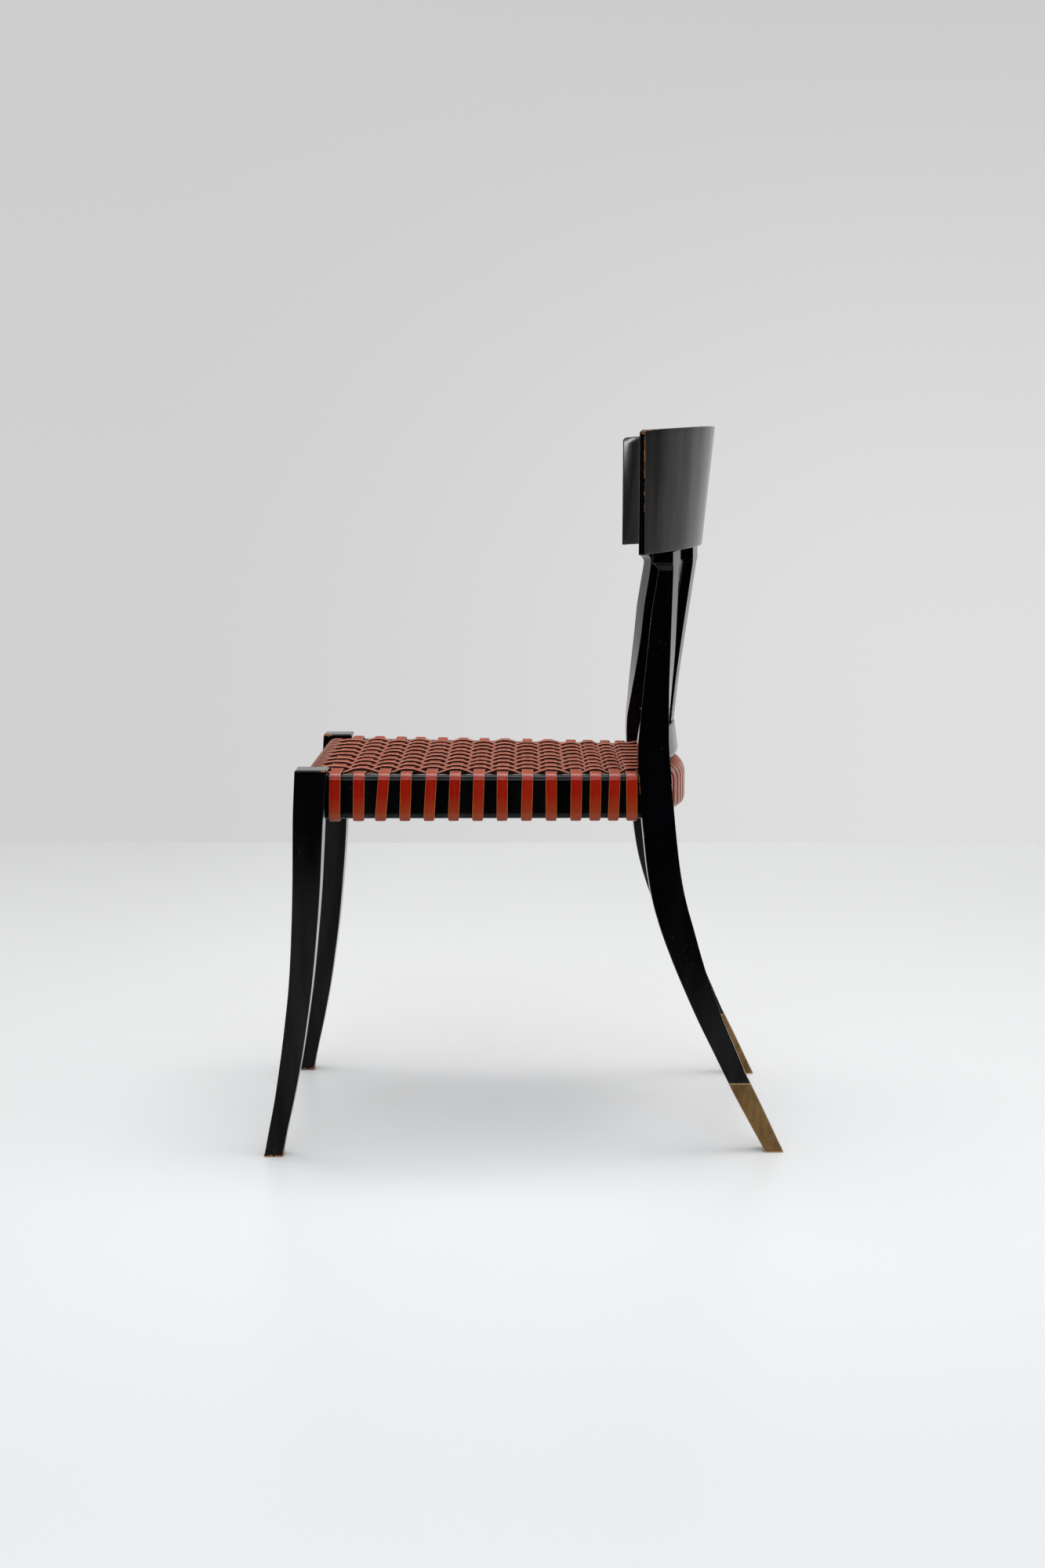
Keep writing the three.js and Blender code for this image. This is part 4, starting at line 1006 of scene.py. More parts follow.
def long_strap(number, rng):
    width, thickness = strap_size()
    places = cross_places(width)
    margin = width / 2 + CROSSING_MARGIN
    first, last = places[0] - margin, places[-1] + margin
    width *= 1 + rng.uniform(-WIDTH_SPREAD_SHARE, WIDTH_SPREAD_SHARE)
    front_lean, rear_lean = rng.uniform(-LEAN_SPREAD, LEAN_SPREAD), rng.uniform(-LEAN_SPREAD, LEAN_SPREAD)
    phases = [rng.uniform(*RISE_SPREAD_SHARES) * (-1 if (i + number) % 2 == 0 else 1)
              for i in range(len(places))]
    drift = rng.uniform(-DRIFT_SPREAD, DRIFT_SPREAD)
    sway = rng.uniform(-SWAY_SPREAD, SWAY_SPREAD)

    def across(x):
        along = (x - places[0]) / (places[-1] - places[0])
        strays = drift * math.sin(math.pi * along) + sway * math.sin(TURN * along) / 3
        return FANS[number] * fan_half(x, places) + strays

    level = RAIL_TOP + FIT_GAP + thickness / 2
    front_y, rear_y = across(FRONT_RAIL_INNER), across(last)
    front_flat = FRONT_RAIL_INNER - FRONT_RAIL_INNER_ROUND
    rear_flat = back_rail_face(rear_y) - BACK_RAIL_THICKNESS + BACK_RAIL_INNER_ROUND

    def height_at(x):
        woven = WEAVE_MIDDLE + LONG_WEAVE_RISE * wave_at(x, places, phases)
        if x < first:
            return lerp(level, woven, smooth_step((x - front_flat) / (first - front_flat)))
        if x > last:
            return lerp(woven - rail_fall(last), level, smooth_step((x - last) / (rear_flat - last)))
        return woven - rail_fall(x)

    front_lap = lap_path(RAIL_TOP_ROUND, SEAT_RAIL_THICKNESS, FRONT_RAIL_INNER_ROUND, thickness)
    rear_lap = lap_path(BACK_RAIL_TOP_ROUND, BACK_RAIL_THICKNESS, BACK_RAIL_INNER_ROUND, thickness)[::-1]
    middle = spaced(front_flat, rear_flat, WEAVE_STEP)[1:-1]
    edges = []
    for offset in (-width / 2, width / 2):
        points = []
        for p in front_lap:
            y = front_y + offset * p.drawn + front_lean * p.down
            points.append(Vector((FRONT_RAIL_FACE + p.inward, y, p.height)))
        points += [Vector((x, across(min(x, last)) + offset, height_at(x))) for x in middle]
        face = back_rail_face(rear_y + offset)
        for p in rear_lap:
            y = rear_y + offset * p.drawn + rear_lean * p.down
            points.append(Vector((face - p.inward, y, p.height)))
        edges.append(points)
    seat = [p.up for p in front_lap] + [1] * len(middle) + [p.up for p in rear_lap]
    strap(f"strap_along_{number + 1:02d}", f"long_strap_{number + 1:02d}", edges, seat, thickness,
          rng.uniform(-1, 1))


# Nodes


class Nodes:
    """Short calls for the nodes of one tree; an input is a value or another node's socket."""

    def __init__(self, tree):
        self.tree = tree

    def put(self, value, socket):
        if isinstance(value, bpy.types.NodeSocket):
            self.tree.links.new(value, socket)
        elif socket.type == "RGBA":
            socket.default_value = (*value, 1)
        else:
            socket.default_value = value

    def node(self, kind, inputs=None, **settings):
        made = self.tree.nodes.new(kind)
        for key, value in settings.items():
            setattr(made, key, value)
        for key, value in (inputs or {}).items():
            self.put(value, made.inputs[key])
        return made

    def split(self, vector):
        return self.node("ShaderNodeSeparateXYZ", {0: vector}).outputs

    def maths(self, operation, a, b, clamp=False):
        return self.node("ShaderNodeMath", {0: a, 1: b}, operation=operation, use_clamp=clamp).outputs[0]

    def mix(self, share, a, b, blend="MIX"):
        """Mixes two colours; the numbers are those of the node's colour sockets."""
        inputs = {0: share, 6: a, 7: b}
        return self.node("ShaderNodeMix", inputs, data_type="RGBA", blend_type=blend).outputs[2]

    def ranged(self, value, low, high, out_low=0.0, out_high=1.0, smooth=False):
        """The value's place between low and high, put between out_low and out_high."""
        ends = {"Value": value, "From Min": low, "From Max": high, "To Min": out_low, "To Max": out_high}
        kind = "SMOOTHSTEP" if smooth else "LINEAR"
        return self.node("ShaderNodeMapRange", ends, interpolation_type=kind).outputs["Result"]

    def ramp(self, value, stops):
        """Grey levels at places from 0 to 1."""
        made = self.node("ShaderNodeValToRGB", {0: value})
        elements = made.color_ramp.elements
        while len(elements) < len(stops):
            elements.new(0.5)
        for element, (place, level) in zip(elements, stops):
            element.position = place
            element.color = (level, level, level, 1)
        return made.outputs[0]


class Finish(Nodes):
    """The nodes of one material, on object coordinates."""

    def __init__(self, name):
        self.material = bpy.data.materials.new(name)
        self.material.use_nodes = True
        super().__init__(self.material.node_tree)
        self.tree.nodes.clear()
        self.shader = self.node("ShaderNodeBsdfPrincipled")
        self.output = self.node("ShaderNodeOutputMaterial", {"Surface": self.shader.outputs[0]})
        self.coords = self.node("ShaderNodeTexCoord").outputs["Object"]

    def stretched(self, scale, coords=None):
        return self.node("ShaderNodeMapping", {"Vector": coords or self.coords, "Scale": scale}).outputs[0]

    def turned(self, angles, scale):
        """Object coordinates turned, then stretched, so that a pattern runs aslant."""
        turned = self.node("ShaderNodeMapping", {"Vector": self.coords, "Rotation": angles})
        return self.stretched(scale, turned.outputs[0])

    def noise(self, scale, detail=3.0, rough=0.5, coords=None):
        inputs = {"Vector": coords or self.coords, "Scale": scale, "Detail": detail, "Roughness": rough}
        return self.node("ShaderNodeTexNoise", inputs).outputs["Fac"]

    def attribute(self, name, output="Fac"):
        return self.node("ShaderNodeAttribute", attribute_name=name).outputs[output]

    def bump(self, height, strength, distance, before=None):
        inputs = {"Height": height, "Strength": strength, "Distance": distance}
        if before is not None:
            inputs["Normal"] = before
        return self.node("ShaderNodeBump", inputs).outputs[0]

    def either(self, share, first, second):
        """Mixes two shaders on the surface."""
        mixed = self.node("ShaderNodeMixShader", {0: share, 1: first, 2: second}).outputs[0]
        self.put(mixed, self.output.inputs["Surface"])
        return mixed

    def open_behind(self, surface, only_for=None):
        """Lets rays through the back of a sheet, or only those of one Light Path kind."""
        behind = self.node("ShaderNodeNewGeometry").outputs["Backfacing"]
        if only_for:
            behind = self.maths("MULTIPLY", behind, self.node("ShaderNodeLightPath").outputs[only_for])
        self.either(behind, surface, self.node("ShaderNodeBsdfTransparent").outputs[0])

    def set(self, **inputs):
        """Sets or links the main shader's inputs, with an underscore for each space in a name."""
        for key, value in inputs.items():
            self.put(value, self.shader.inputs[key.replace("_", " ")])


def material_once(name):
    """Gives a function that fills a Finish the material of this name, which is made on the first call."""

    def wrap(fill):
        def given():
            if name not in bpy.data.materials:
                fill(Finish(name))
            return bpy.data.materials[name]

        return given

    return wrap


# Tacks that hold the strap ends under the rails, set out by Geometry Nodes


def tack_tree():
    """Sets a domed tack on each point of its mesh; gives the tree and its inputs' identifiers by name."""
    tree = bpy.data.node_groups.new("Tacks on points", "GeometryNodeTree")
    named = {}
    for name, kind in (("Geometry", "Geometry"), ("Head width", "Float"), ("Head height", "Float"),
                       ("Seed", "Int"), ("Material", "Material")):
        named[name] = tree.interface.new_socket(name, in_out="INPUT", socket_type=f"NodeSocket{kind}")
    tree.interface.new_socket("Geometry", in_out="OUTPUT", socket_type="NodeSocketGeometry")
    g = Nodes(tree)
    given = g.node("NodeGroupInput").outputs
    width, height = given["Head width"], given["Head height"]
    dome = g.node("GeometryNodeMeshUVSphere", {"Segments": TACK_SEGMENTS, "Rings": TACK_RINGS, "Radius": 0.5})
    size = g.node("ShaderNodeCombineXYZ", {"X": width, "Y": width, "Z": height})
    sized = g.node("GeometryNodeTransform", {"Geometry": dome.outputs["Mesh"], "Scale": size.outputs[0]})
    turns = {0: (-TACK_TILT, -TACK_TILT, 0), 1: (TACK_TILT, TACK_TILT, TURN), "Seed": given["Seed"]}
    spread = g.node("FunctionNodeRandomValue", turns, data_type="FLOAT_VECTOR")
    placed = g.node("GeometryNodeInstanceOnPoints", {
        "Points": given["Geometry"], "Instance": sized.outputs[0], "Rotation": spread.outputs[0]})
    real = g.node("GeometryNodeRealizeInstances", {"Geometry": placed.outputs[0]})
    soft = g.node("GeometryNodeSetShadeSmooth", {"Geometry": real.outputs[0]})
    painted = g.node("GeometryNodeSetMaterial", {"Geometry": soft.outputs[0], "Material": given["Material"]})
    g.node("NodeGroupOutput", {"Geometry": painted.outputs[0]})
    return tree, {name: socket.identifier for name, socket in named.items()}


def tack_places():
    width, thickness = strap_size()
    height = RAIL_BOTTOM - FIT_GAP - thickness - TACK_SINK
    places = cross_places(width)
    points = []
    for number, place in enumerate(places):
        for side in SIDES.values():
            x = place + strap_lean(number, side)
            points.append(Vector((x, side * (side_rail_face(x) - TACK_INSET), height - rail_fall(x))))
    front_half = fan_half(FRONT_RAIL_INNER, places)
    rear_half = fan_half(places[-1] + width / 2, places)
    for fan in FANS:
        points.append(Vector((FRONT_RAIL_FACE + TACK_INSET, fan * front_half, height)))
        y = fan * rear_half
        points.append(Vector((back_rail_face(y) - TACK_INSET, y, height)))
    return points


def strap_tacks():
    settings = chair_settings()
    mesh = bpy.data.meshes.new("tack_points")
    mesh.from_pydata([tuple(p * MM) for p in tack_places()], [], [])
    carrier = add_object("tack_points", mesh)
    tree, identifiers = tack_tree()
    modifier = carrier.modifiers.new("Tacks", "NODES")
    modifier.node_group = tree
    modifier[identifiers["Head width"]] = settings.tack_width
    modifier[identifiers["Head height"]] = settings.tack_height
    modifier[identifiers["Seed"]] = settings.seed
    modifier[identifiers["Material"]] = steel_material()
    evaluated = carrier.evaluated_get(bpy.context.evaluated_depsgraph_get())
    plain = bpy.data.meshes.new_from_object(evaluated)
    plain.name = "strap_tacks"
    carrier.modifiers.clear()
    bpy.data.objects.remove(carrier)
    piece = add_object("strap_tacks", plain)
    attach(piece, "root")


# Materials. Colours are linear, and noise scales are per metre

SCRATCH_GREY = (0.05, 0.04, 0.035)
WORN_BROWN = (0.12, 0.04, 0.015)
LEATHER_WARM = (0.36, 0.026, 0.0022)
# Painted reflection of the floor, low on the straps' laps
LAP_LOW_FLOOR_REFLECTION = (0.24, 0.04, 0.011)
# Dry, worn leather on the seat, paled by a painted sheen
SEAT_WORN_AND_SHEEN = (0.34, 0.068, 0.032)
SEAT_DUST_AND_SHEEN = (0.47, 0.11, 0.057)
# Painted shade over the straps' front turn
SEAT_FRONT_PAINTED_SHADE = (0.06, 0.014, 0.006)
# Painted highlight on the arrises of the straps on the seat
SEAT_EDGE_HIGHLIGHT = (0.72, 0.4, 0.31)
LAP_CUT_EDGE = (0.08, 0.021, 0.009)
# Cut edges on the seat: dark brown, darker still with painted shade in the gaps of the weave
SEAT_CUT_EDGE_AND_SHADE = (0.045, 0.012, 0.006)
BRASS_SPOT = (0.10, 0.07, 0.04)
BRASS_BRIGHT = (0.7, 0.52, 0.28)
BEECH_DARK = (0.2, 0.1, 0.045)
BEECH_LIGHT = (0.4, 0.235, 0.115)
BEECH_FLECK = (0.14, 0.06, 0.03)
STEEL_DARK = (0.16, 0.14, 0.12)
STEEL_LIGHT = (0.42, 0.41, 0.39)
# Between these heights a painted reflection of the floor turns the straps browner down their rail
LAP_REFLECTION_FROM = RAIL_BOTTOM + 28
LAP_REFLECTION_TO = RAIL_BOTTOM + 2
# Between these places, and up between these heights, painted shade falls on the straps' front turn
FRONT_SHADE_FROM = FRONT_RAIL_FACE + 24
FRONT_SHADE_TO = FRONT_RAIL_FACE + 7
FRONT_SHADE_LOW = RAIL_TOP - 34
FRONT_SHADE_HIGH = RAIL_TOP - 12


def shaded(colour, share):
    return tuple(c * share for c in colour)


@material_once("Black lacquer")
def lacquer_material(g):
    """Black with a blue bloom, upright streaks and scratches, rubbed through to the wood by wear."""
    colours = chair_settings()
    wear, polish = g.attribute("wear"), g.attribute("polish")
    mottle = g.noise(7.0, 6.0, 0.6, g.stretched((5, 5, 1)))
    streaks = g.noise(34.0, 5.0, 0.62, g.stretched((1, 1, 0.14)))
    broad = g.noise(26.0, 4.0, 0.6)
    fine = g.noise(420.0, 3.0, 0.65)
    black = g.mix(g.ranged(mottle, 0.4, 0.68, smooth=True), colours.lacquer_color, colours.lacquer_bloom)

    scratch = g.noise(60.0, 2.0, 0.4, g.turned((0.3, 0.5, 0.35), (9, 9, 0.5)))
    patches = g.ranged(g.noise(9.0, 2.0), 0.52, 0.62)
    marks = g.maths("MULTIPLY", g.ranged(scratch, 0.71, 0.74), patches)
    marked = g.mix(g.maths("MULTIPLY", marks, 0.5), black, SCRATCH_GREY)

    spots = g.maths("ADD", g.ranged(broad, 0.4, 0.66, -0.35, 0.4), g.ranged(fine, 0.3, 0.7, -0.22, 0.22))
    rubbed = g.ranged(g.maths("ADD", wear, spots), 0.98, 1.12, smooth=True)
    rubbed = g.maths("MULTIPLY", rubbed, g.ranged(wear, 0.2, 0.5))
    wood = g.mix(g.ranged(fine, 0.4, 0.7), WORN_BROWN, colours.bare_wood)

    rough = g.maths("ADD", g.ranged(mottle, 0.3, 0.7, 0.11, 0.19), g.maths("MULTIPLY", polish, -0.05))
    rough = g.maths("ADD", rough, g.maths("MULTIPLY", rubbed, 0.3))
    gloss = g.maths("MULTIPLY", g.ranged(streaks, 0.3, 0.7, 0.6, 1.4), g.ranged(mottle, 0.3, 0.7, 0.13, 0.21))
    ripple = g.maths("MULTIPLY", streaks, g.ranged(polish, 0.0, 1.0, 1.0, 0.1))
    bumped = g.bump(ripple, 0.14, 0.0009)
    bumped = g.bump(g.noise(900.0, 2.0), 0.04, 0.0002, bumped)
    bumped = g.bump(g.maths("SUBTRACT", 1.0, rubbed), 0.4, 0.0003, bumped)
    g.set(Base_Color=g.mix(rubbed, marked, wood), Roughness=rough, Normal=bumped, Specular_IOR_Level=gloss)


@material_once("Red leather")
def leather_material(g):
    """Glossy red on the rails, browner low down with a painted reflection of the floor; on the seat dry and
    dusty, paled by a painted sheen, with painted highlights on the arrises and painted shade in the weave;
    dark at the front edge with painted shade; raw at the cut edges.
    """
    colours = chair_settings()
    lie = g.attribute("lie", "Vector")
    seat = g.attribute("on_seat")
    x, _, z = g.split(g.coords)
    streaks = g.noise(40.0, 5.0, 0.65, g.stretched((0.35, 7, 1), lie))
    blotches = g.ranged(g.noise(34.0, 4.0, 0.6), 0.58, 0.74, 0.0, 0.75, smooth=True)
    streaked = g.ranged(streaks, 0.32, 0.66)
    red = tuple(colours.leather_color)
    base = g.mix(streaked, (red[0] * 0.72, red[1] * 0.5, red[2] * 0.6), red)
    base = g.mix(blotches, base, LEATHER_WARM)
    base = g.mix(g.ranged(g.attribute("tone"), -1, 1, 0.0, 0.22), base, LEATHER_WARM)

    # Painted reflection of the floor, browner towards the lower edge of the rail
    low = g.ranged(z, LAP_REFLECTION_FROM * MM, LAP_REFLECTION_TO * MM, 0.0, 0.85)
    base = g.mix(low, base, LAP_LOW_FLOOR_REFLECTION)
    # On the seat the leather turns a pale pinkish brown: dry, dusty leather with a painted sheen
    dust_and_sheen = g.mix(streaked, SEAT_WORN_AND_SHEEN, SEAT_DUST_AND_SHEEN)
    base = g.mix(g.maths("MULTIPLY", seat, 0.85), base, dust_and_sheen)
    # Painted shade over the straps where they turn over the front rail, which also takes gloss away there
    front = g.ranged(x, FRONT_SHADE_FROM * MM, FRONT_SHADE_TO * MM, smooth=True)
    high = g.ranged(z, FRONT_SHADE_LOW * MM, FRONT_SHADE_HIGH * MM, smooth=True)
    painted_front_shade = g.maths("MULTIPLY", front, high)
    base = g.mix(g.maths("MULTIPLY", painted_front_shade, 0.8), base, SEAT_FRONT_PAINTED_SHADE)

    ragged = g.ranged(g.noise(420.0, 3.0, 0.6), 0.3, 0.7, -0.1, 0.1)
    edge = g.maths("ADD", g.attribute("raw_edge"), ragged)
    # On the seat the arris of each edge gets a pale pink painted highlight; on the rails it keeps the colour
    # of the cut edge
    rubbed = g.mix(seat, colours.leather_edge, SEAT_EDGE_HIGHLIGHT)
    # The cut edges are dark brown, and darker on the seat with painted shade in the weave
    cut = g.mix(seat, LAP_CUT_EDGE, SEAT_CUT_EDGE_AND_SHADE)
    colour = g.mix(g.ranged(edge, 0.14, 0.28, smooth=True), base, rubbed)
    colour = g.mix(g.ranged(edge, 0.38, 0.54, smooth=True), colour, cut)

    rough = g.maths("ADD", g.ranged(streaks, 0.3, 0.7, 0.13, 0.21), g.ranged(edge, 0.3, 0.6, 0.0, 0.3))
    rough = g.maths("ADD", rough, g.maths("MULTIPLY", seat, 0.34))
    gloss = g.ranged(seat, 0.0, 0.35, 0.24, 0.9, smooth=True)
    gloss = g.maths("MULTIPLY", gloss, g.ranged(seat, 0.5, 1.0, 1.0, 0.05, smooth=True))
    gloss = g.maths("MULTIPLY", gloss, g.ranged(painted_front_shade, 0.0, 1.0, 1.0, 0.25))
    fibres = g.noise(300.0, 3.0, 0.6, g.stretched((0.12, 1, 1), lie))
    bumped = g.bump(fibres, 0.1, 0.0004)
    bumped = g.bump(g.noise(1400.0, 3.0, 0.6), 0.08, 0.0002, bumped)
    g.set(Base_Color=colour, Roughness=rough, Normal=bumped, Specular_IOR_Level=gloss)


@material_once("Aged brass")
def brass_material(g):
    """Clouded brown brass, rubbed bright at the foot and the lip."""
    brass = chair_settings().brass_color
    cloud = g.noise(38.0, 6.0, 0.68, g.stretched((1, 1, 0.45)))
    fine = g.noise(420.0, 4.0, 0.7)
    colour = g.mix(g.ranged(cloud, 0.32, 0.68, smooth=True), shaded(brass, 0.45), brass)
    colour = g.mix(g.maths("MULTIPLY", g.ranged(fine, 0.45, 0.75), 0.35), colour, BRASS_SPOT)
    bright = g.maths("MULTIPLY", g.ranged(g.attribute("wear"), 0.6, 1.0), g.ranged(fine, 0.3, 0.55))
    colour = g.mix(g.maths("MULTIPLY", bright, 0.6), colour, BRASS_BRIGHT)
    bumped = g.bump(fine, 0.12, 0.0003)
    bumped = g.bump(cloud, 0.15, 0.0012, bumped)
    g.set(Base_Color=colour, Roughness=g.ranged(cloud, 0.3, 0.7, 0.52, 0.38), Normal=bumped, Metallic=0.85)


@material_once("Raw beech")
def beech_material(g):
    grain = g.noise(60.0, 5.0, 0.65, g.stretched((1, 1, 9)))
    flecks = g.noise(500.0, 2.0, 0.5, g.stretched((1, 1, 0.2)))
    colour = g.mix(g.ranged(grain, 0.3, 0.7), BEECH_DARK, BEECH_LIGHT)
    colour = g.mix(g.maths("MULTIPLY", g.ranged(flecks, 0.55, 0.7), 0.5), colour, BEECH_FLECK)
    rough = g.ranged(grain, 0.3, 0.7, 0.6, 0.78)
    g.set(Base_Color=colour, Roughness=rough, Normal=g.bump(grain, 0.3, 0.0008))


@material_once("Screw steel")
def steel_material(g):
    cloud = g.noise(300.0, 4.0, 0.6)
    colour = g.mix(g.ranged(cloud, 0.35, 0.65), STEEL_DARK, STEEL_LIGHT)
    rough = g.ranged(cloud, 0.3, 0.7, 0.5, 0.32)
    g.set(Base_Color=colour, Roughness=rough, Normal=g.bump(cloud, 0.2, 0.0003), Metallic=1.0)


@material_once("Plain floor")
def floor_material(g):
    """A pale floor with painted shade in front and on the left, which the camera sees through from below."""
    colour = tuple(stage_settings().floor_color)
    x, y, _ = g.split(g.coords)
    soft = g.mix(g.ranged(g.noise(2.0, 3.0, 0.5), 0.3, 0.7), shaded(colour, 0.985), colour)
    # Painted shade towards the front
    soft = g.mix(g.ranged(y, -0.35, -1.4, smooth=True), soft, shaded(colour, 0.88))
    # Painted shade towards the left
    painted_left_shade = g.maths("MULTIPLY", g.ranged(x, -0.2, -0.9, smooth=True), 0.6)
    g.set(Base_Color=g.mix(painted_left_shade, soft, shaded(colour, 0.86)), Roughness=0.42, Specular_IOR_Level=0.3)
    g.open_behind(g.shader.outputs[0], "Is Camera Ray")


@material_once("Plain wall")
def wall_material(g):
    """A pale wall with painted shade towards its top and its left, that shows its own colour to the camera,
    in gloss and through glass, open from behind.
    """
    colour = tuple(stage_settings().wall_color)
    x, _, z = g.split(g.coords)
    # Painted shade towards the top
    shown = g.mix(g.ranged(z, 0.4, 2.2, smooth=True), colour, shaded(colour, 0.8))
    # Painted shade towards the left
    painted_left_shade = g.maths("MULTIPLY", g.ranged(x, 0.9, -0.9, smooth=True), 0.8)
    shown = g.mix(painted_left_shade, shown, shaded(colour, 0.83))
    g.set(Base_Color=shown, Roughness=0.8)
    rays = g.node("ShaderNodeLightPath").outputs
    shows = g.maths("ADD", rays["Is Camera Ray"], rays["Is Glossy Ray"])
    shows = g.maths("ADD", shows, rays["Is Transmission Ray"], clamp=True)
    glow = g.node("ShaderNodeEmission", {"Color": shown})
    g.open_behind(g.either(shows, g.shader.outputs[0], glow.outputs[0]))


# Stage, in metres

CAMERA_PLACE = (0.0015, -3.334, 0.801)
CAMERA_DOWN = math.radians(6.49)
CAMERA_TURN = math.radians(0.07)
CAMERA_LENS = 60.43
CAMERA_SENSOR = 36
WALL_Y = 2.54
WALL_TOP = 6
FLOOR_SIDE = 6
FLOOR_FRONT = -2.4
# Lamps: place, aim, size, share of the lamp power, colour and roll
LAMPS = {
    "Lamp above": ((0.1, 0.3, 2.7), (0, 0.1, 0.3), (2.0, 0.9), 1, (1, 1, 1), 0),
    "Lamp in front": ((0, -3.3, 2.6), (0, -0.2, 0.45), (3.0, 0.7), 1.8, (0.78, 0.9, 1), 0),
    "Lamp at the left": ((-2.475, 0.908, 0.935), (0.145, 0.255, 0.8), (0.6, 0.06), 0.2, (1, 1, 1),
                         math.radians(-40)),
}
# Levels of the room's light: by direction from front to rear, left to right and low to high
SHINE_TO_REAR = [(0.33, 0.0), (0.5, 0.25), (0.7, 0.58), (0.9, 0.85)]
SHINE_TO_RIGHT = [(0.0, 0.7), (0.04, 0.45), (0.12, 0.1), (0.3, 0.2), (0.44, 1.0)]
SHINE_UPWARDS = [(0.38, 0.0), (0.55, 0.8), (0.85, 1.0)]
LIGHT_TO_RIGHT = [(0.0, 0.35), (0.55, 1.0)]
LIGHT_UPWARDS = [(0.0, 0.55), (1.0, 1.2)]


def add_camera():
    data = bpy.data.cameras.new("Camera")
    data.sensor_fit = "VERTICAL"
    data.sensor_height = CAMERA_SENSOR
    data.sensor_width = CAMERA_SENSOR
    data.lens = CAMERA_LENS
    camera = add_object("Camera", data)
    camera.location = CAMERA_PLACE
    camera.rotation_euler = (QUARTER - CAMERA_DOWN, 0, CAMERA_TURN)
    bpy.context.scene.camera = camera


def add_sheet(name, corners, material):
    mesh = bpy.data.meshes.new(name)
    mesh.from_pydata(corners, [], [(0, 1, 2, 3)])
    mesh.materials.append(material)
    add_object(name, mesh)


def add_lamp(name, place, aim, size, share, colour, roll):
    data = bpy.data.lights.new(name, "AREA")
    data.shape = "RECTANGLE"
    data.size, data.size_y = size
    data.energy = stage_settings().lamp_power * share
    data.color = colour
    lamp = add_object(name, data)
    lamp.location = place
    facing = (Vector(aim) - Vector(place)).to_track_quat("-Z", "Y")
    lamp.rotation_euler = (facing @ Quaternion((0, 0, 1), roll)).to_euler()


def light_room():
    """Soft light from all round; what shines in the lacquer is dark on the camera's side."""
    world = bpy.data.worlds.new("Room")
    bpy.context.scene.world = world
    world.use_nodes = True
    world.node_tree.nodes.clear()
    g = Nodes(world.node_tree)
    x, y, z = g.split(g.node("ShaderNodeTexCoord").outputs["Generated"])
    to_right, to_rear = g.ranged(x, -1, 1), g.ranged(y, -1, 1)
    around = g.mix(1.0, g.ramp(to_rear, SHINE_TO_REAR), g.ramp(to_right, SHINE_TO_RIGHT), "MULTIPLY")
    shine = g.mix(1.0, around, g.ramp(z, SHINE_UPWARDS), "LIGHTEN")
    soft = g.mix(1.0, g.ramp(z, LIGHT_UPWARDS), g.ramp(to_right, LIGHT_TO_RIGHT), "MULTIPLY")
    rays = g.node("ShaderNodeLightPath").outputs
    light = g.mix(rays["Is Glossy Ray"], soft, shine)
    plain = g.maths("ADD", rays["Is Camera Ray"], rays["Is Transmission Ray"], clamp=True)
    seen = g.mix(plain, light, stage_settings().wall_color)
    glow = g.node("ShaderNodeBackground", {"Color": seen, "Strength": stage_settings().sky_strength})
    g.node("ShaderNodeOutputWorld", {"Surface": glow.outputs[0]})


# Steps


class CHAIR_OT_stage(bpy.types.Operator):
    """Camera, plain floor, plain backdrop and soft light"""

    bl_idname = "chair.stage"
    bl_label = "Stage"

    def execute(self, context):
        context.scene.view_settings.view_transform = "Standard"
        add_camera()
        side, front, rear, top = FLOOR_SIDE, FLOOR_FRONT, WALL_Y, WALL_TOP
        floor = [(-side, front, 0), (side, front, 0), (side, rear, 0), (-side, rear, 0)]
        wall = [(-side, rear, 0), (side, rear, 0), (side, rear, top), (-side, rear, top)]
        add_sheet("floor", floor, floor_material())
        add_sheet("wall", wall, wall_material())
        light_room()
        for name, lamp in LAMPS.items():
            add_lamp(name, *lamp)
        return {"FINISHED"}


class CHAIR_OT_legs(bpy.types.Operator):
    """The four sabre legs, the rear ones with their stiles and heads"""

    bl_idname = "chair.legs"
    bl_label = "Legs"

    def execute(self, context):
        for name, side in SIDES.items():
            front_leg(name, side)
            rear_leg(name, side)
        return {"FINISHED"}


class CHAIR_OT_sabots(bpy.types.Operator):
    """The two brass sabots on the rear feet"""

    bl_idname = "chair.sabots"
    bl_label = "Sabots"

    def execute(self, context):
        for name, side in SIDES.items():
            sabot(name, side)
        return {"FINISHED"}


class CHAIR_OT_back(bpy.types.Operator):
    """The crest rail, the slats and the lower rail of the back"""

    bl_idname = "chair.back"
    bl_label = "Back"

    def execute(self, context):
        crest()
        for name, side in SIDES.items():
            slat(name, side)
        lower_rail()
        return {"FINISHED"}


class CHAIR_OT_rails(bpy.types.Operator):
    """The four rails of the seat"""

    bl_idname = "chair.rails"
    bl_label = "Seat rails"

    def execute(self, context):
        for name, side in SIDES.items():
            side_rail(name, side)
        front_rail()
        back_rail()
        return {"FINISHED"}


class CHAIR_OT_straps(bpy.types.Operator):
    """The woven leather straps of the seat"""

    bl_idname = "chair.straps"
    bl_label = "Straps"

    def execute(self, context):
        rng = random.Random(chair_settings().seed)
        for number in range(len(CROSS_STRAP_SHARES)):
            cross_strap(number, rng)
        for number in range(LONG_STRAP_COUNT):
            long_strap(number, rng)
        return {"FINISHED"}


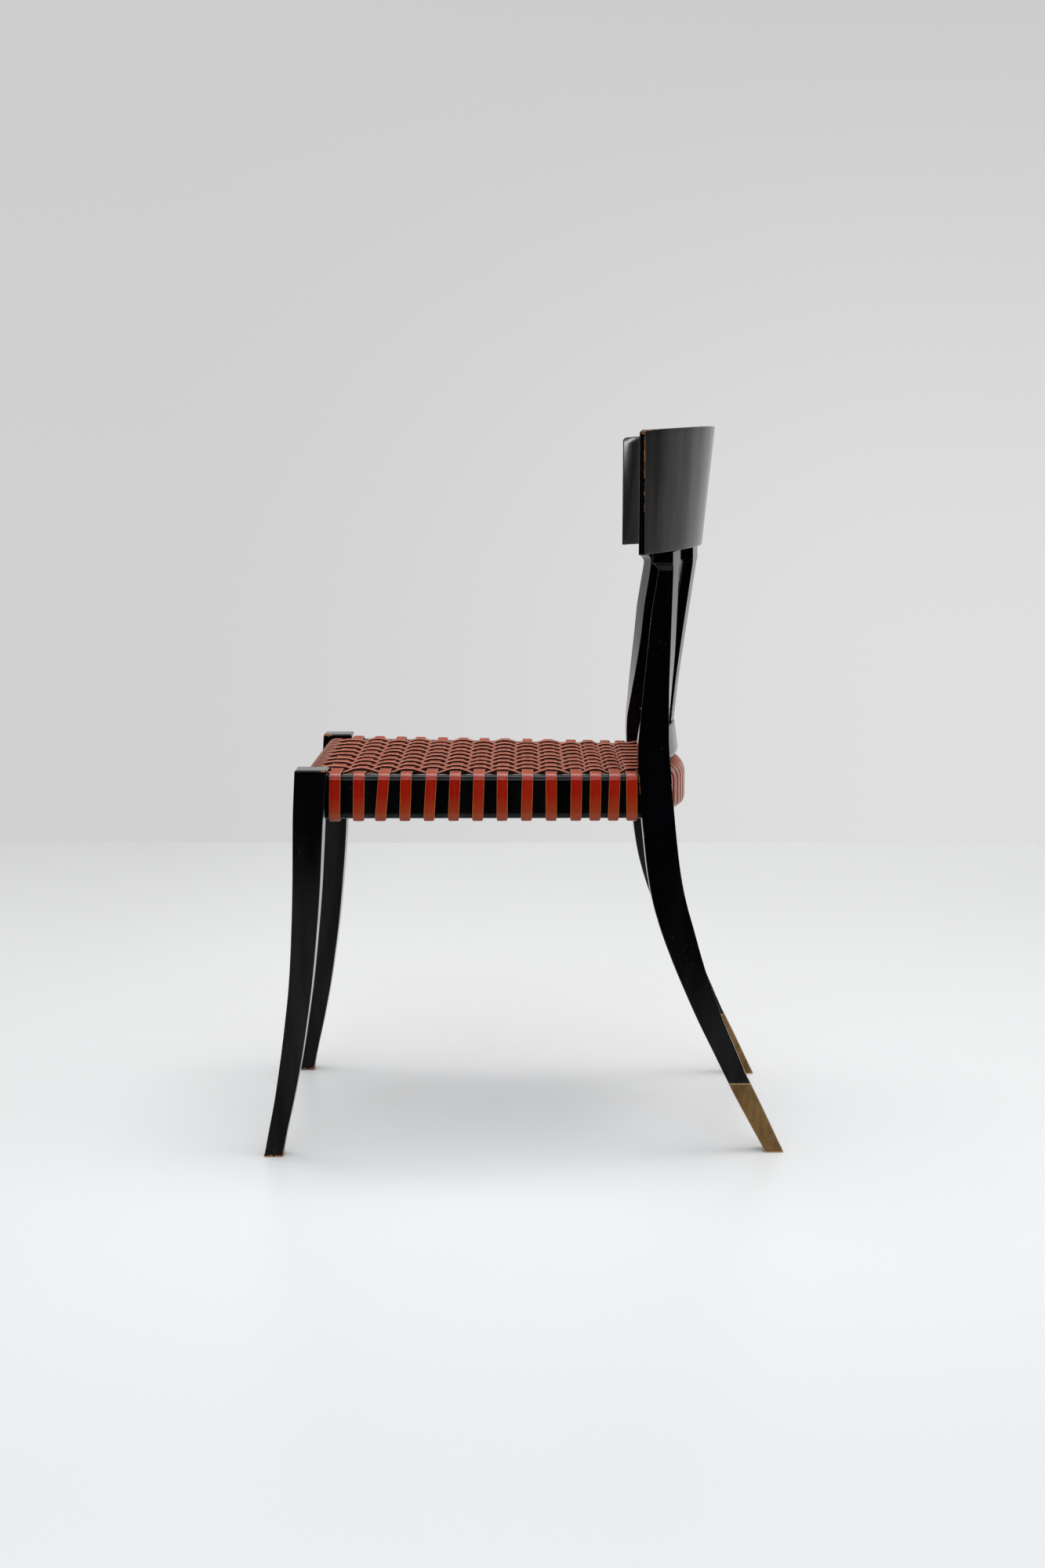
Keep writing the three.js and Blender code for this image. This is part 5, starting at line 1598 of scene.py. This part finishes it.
class CHAIR_OT_tacks(bpy.types.Operator):
    """The tacks that hold the strap ends"""

    bl_idname = "chair.tacks"
    bl_label = "Tacks"

    def execute(self, context):
        strap_tacks()
        return {"FINISHED"}


class CHAIR_OT_fittings(bpy.types.Operator):
    """Finishes for the corner blocks, their screws and the sabot pins"""

    bl_idname = "chair.fittings"
    bl_label = "Fittings"

    def execute(self, context):
        finishes = {"corner_block": ("raw_beech", beech_material()),
                    "block_screw": ("screw_steel", steel_material()),
                    "sabot_pin": ("aged_brass", brass_material())}
        for name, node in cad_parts.items():
            for start, (slot, material) in finishes.items():
                if name.startswith(start):
                    node.data.materials.clear()
                    node.data.materials.append(material)
        return {"FINISHED"}


class CHAIR_PT_panel(bpy.types.Panel):
    """Sizes, colours and steps of the chair"""

    bl_label = "Klismos chair"
    bl_idname = "CHAIR_PT_panel"
    bl_space_type = "VIEW_3D"
    bl_region_type = "UI"
    bl_category = "Chair"

    def draw(self, context):
        for operator in OPERATORS:
            self.layout.operator(operator.bl_idname)
        for settings in (chair_settings(), stage_settings()):
            for key in settings.__annotations__:
                self.layout.prop(settings, key)


OPERATORS = (CHAIR_OT_stage, CHAIR_OT_legs, CHAIR_OT_sabots, CHAIR_OT_back, CHAIR_OT_rails,
             CHAIR_OT_straps, CHAIR_OT_tacks, CHAIR_OT_fittings)
CLASSES = (ChairSettings, StageSettings, *OPERATORS, CHAIR_PT_panel)


def register():
    for made in CLASSES:
        bpy.utils.register_class(made)
    bpy.types.Scene.chair_settings = PointerProperty(type=ChairSettings)
    bpy.types.Scene.chair_stage_settings = PointerProperty(type=StageSettings)


def unregister():
    del bpy.types.Scene.chair_settings
    del bpy.types.Scene.chair_stage_settings
    for made in reversed(CLASSES):
        bpy.utils.unregister_class(made)


def main():
    register()
    bpy.ops.chair.stage()
    bpy.ops.chair.legs()
    bpy.ops.chair.sabots()
    bpy.ops.chair.back()
    bpy.ops.chair.rails()
    bpy.ops.chair.straps()
    bpy.ops.chair.tacks()
    bpy.ops.chair.fittings()


if __name__ == "__main__":
    main()
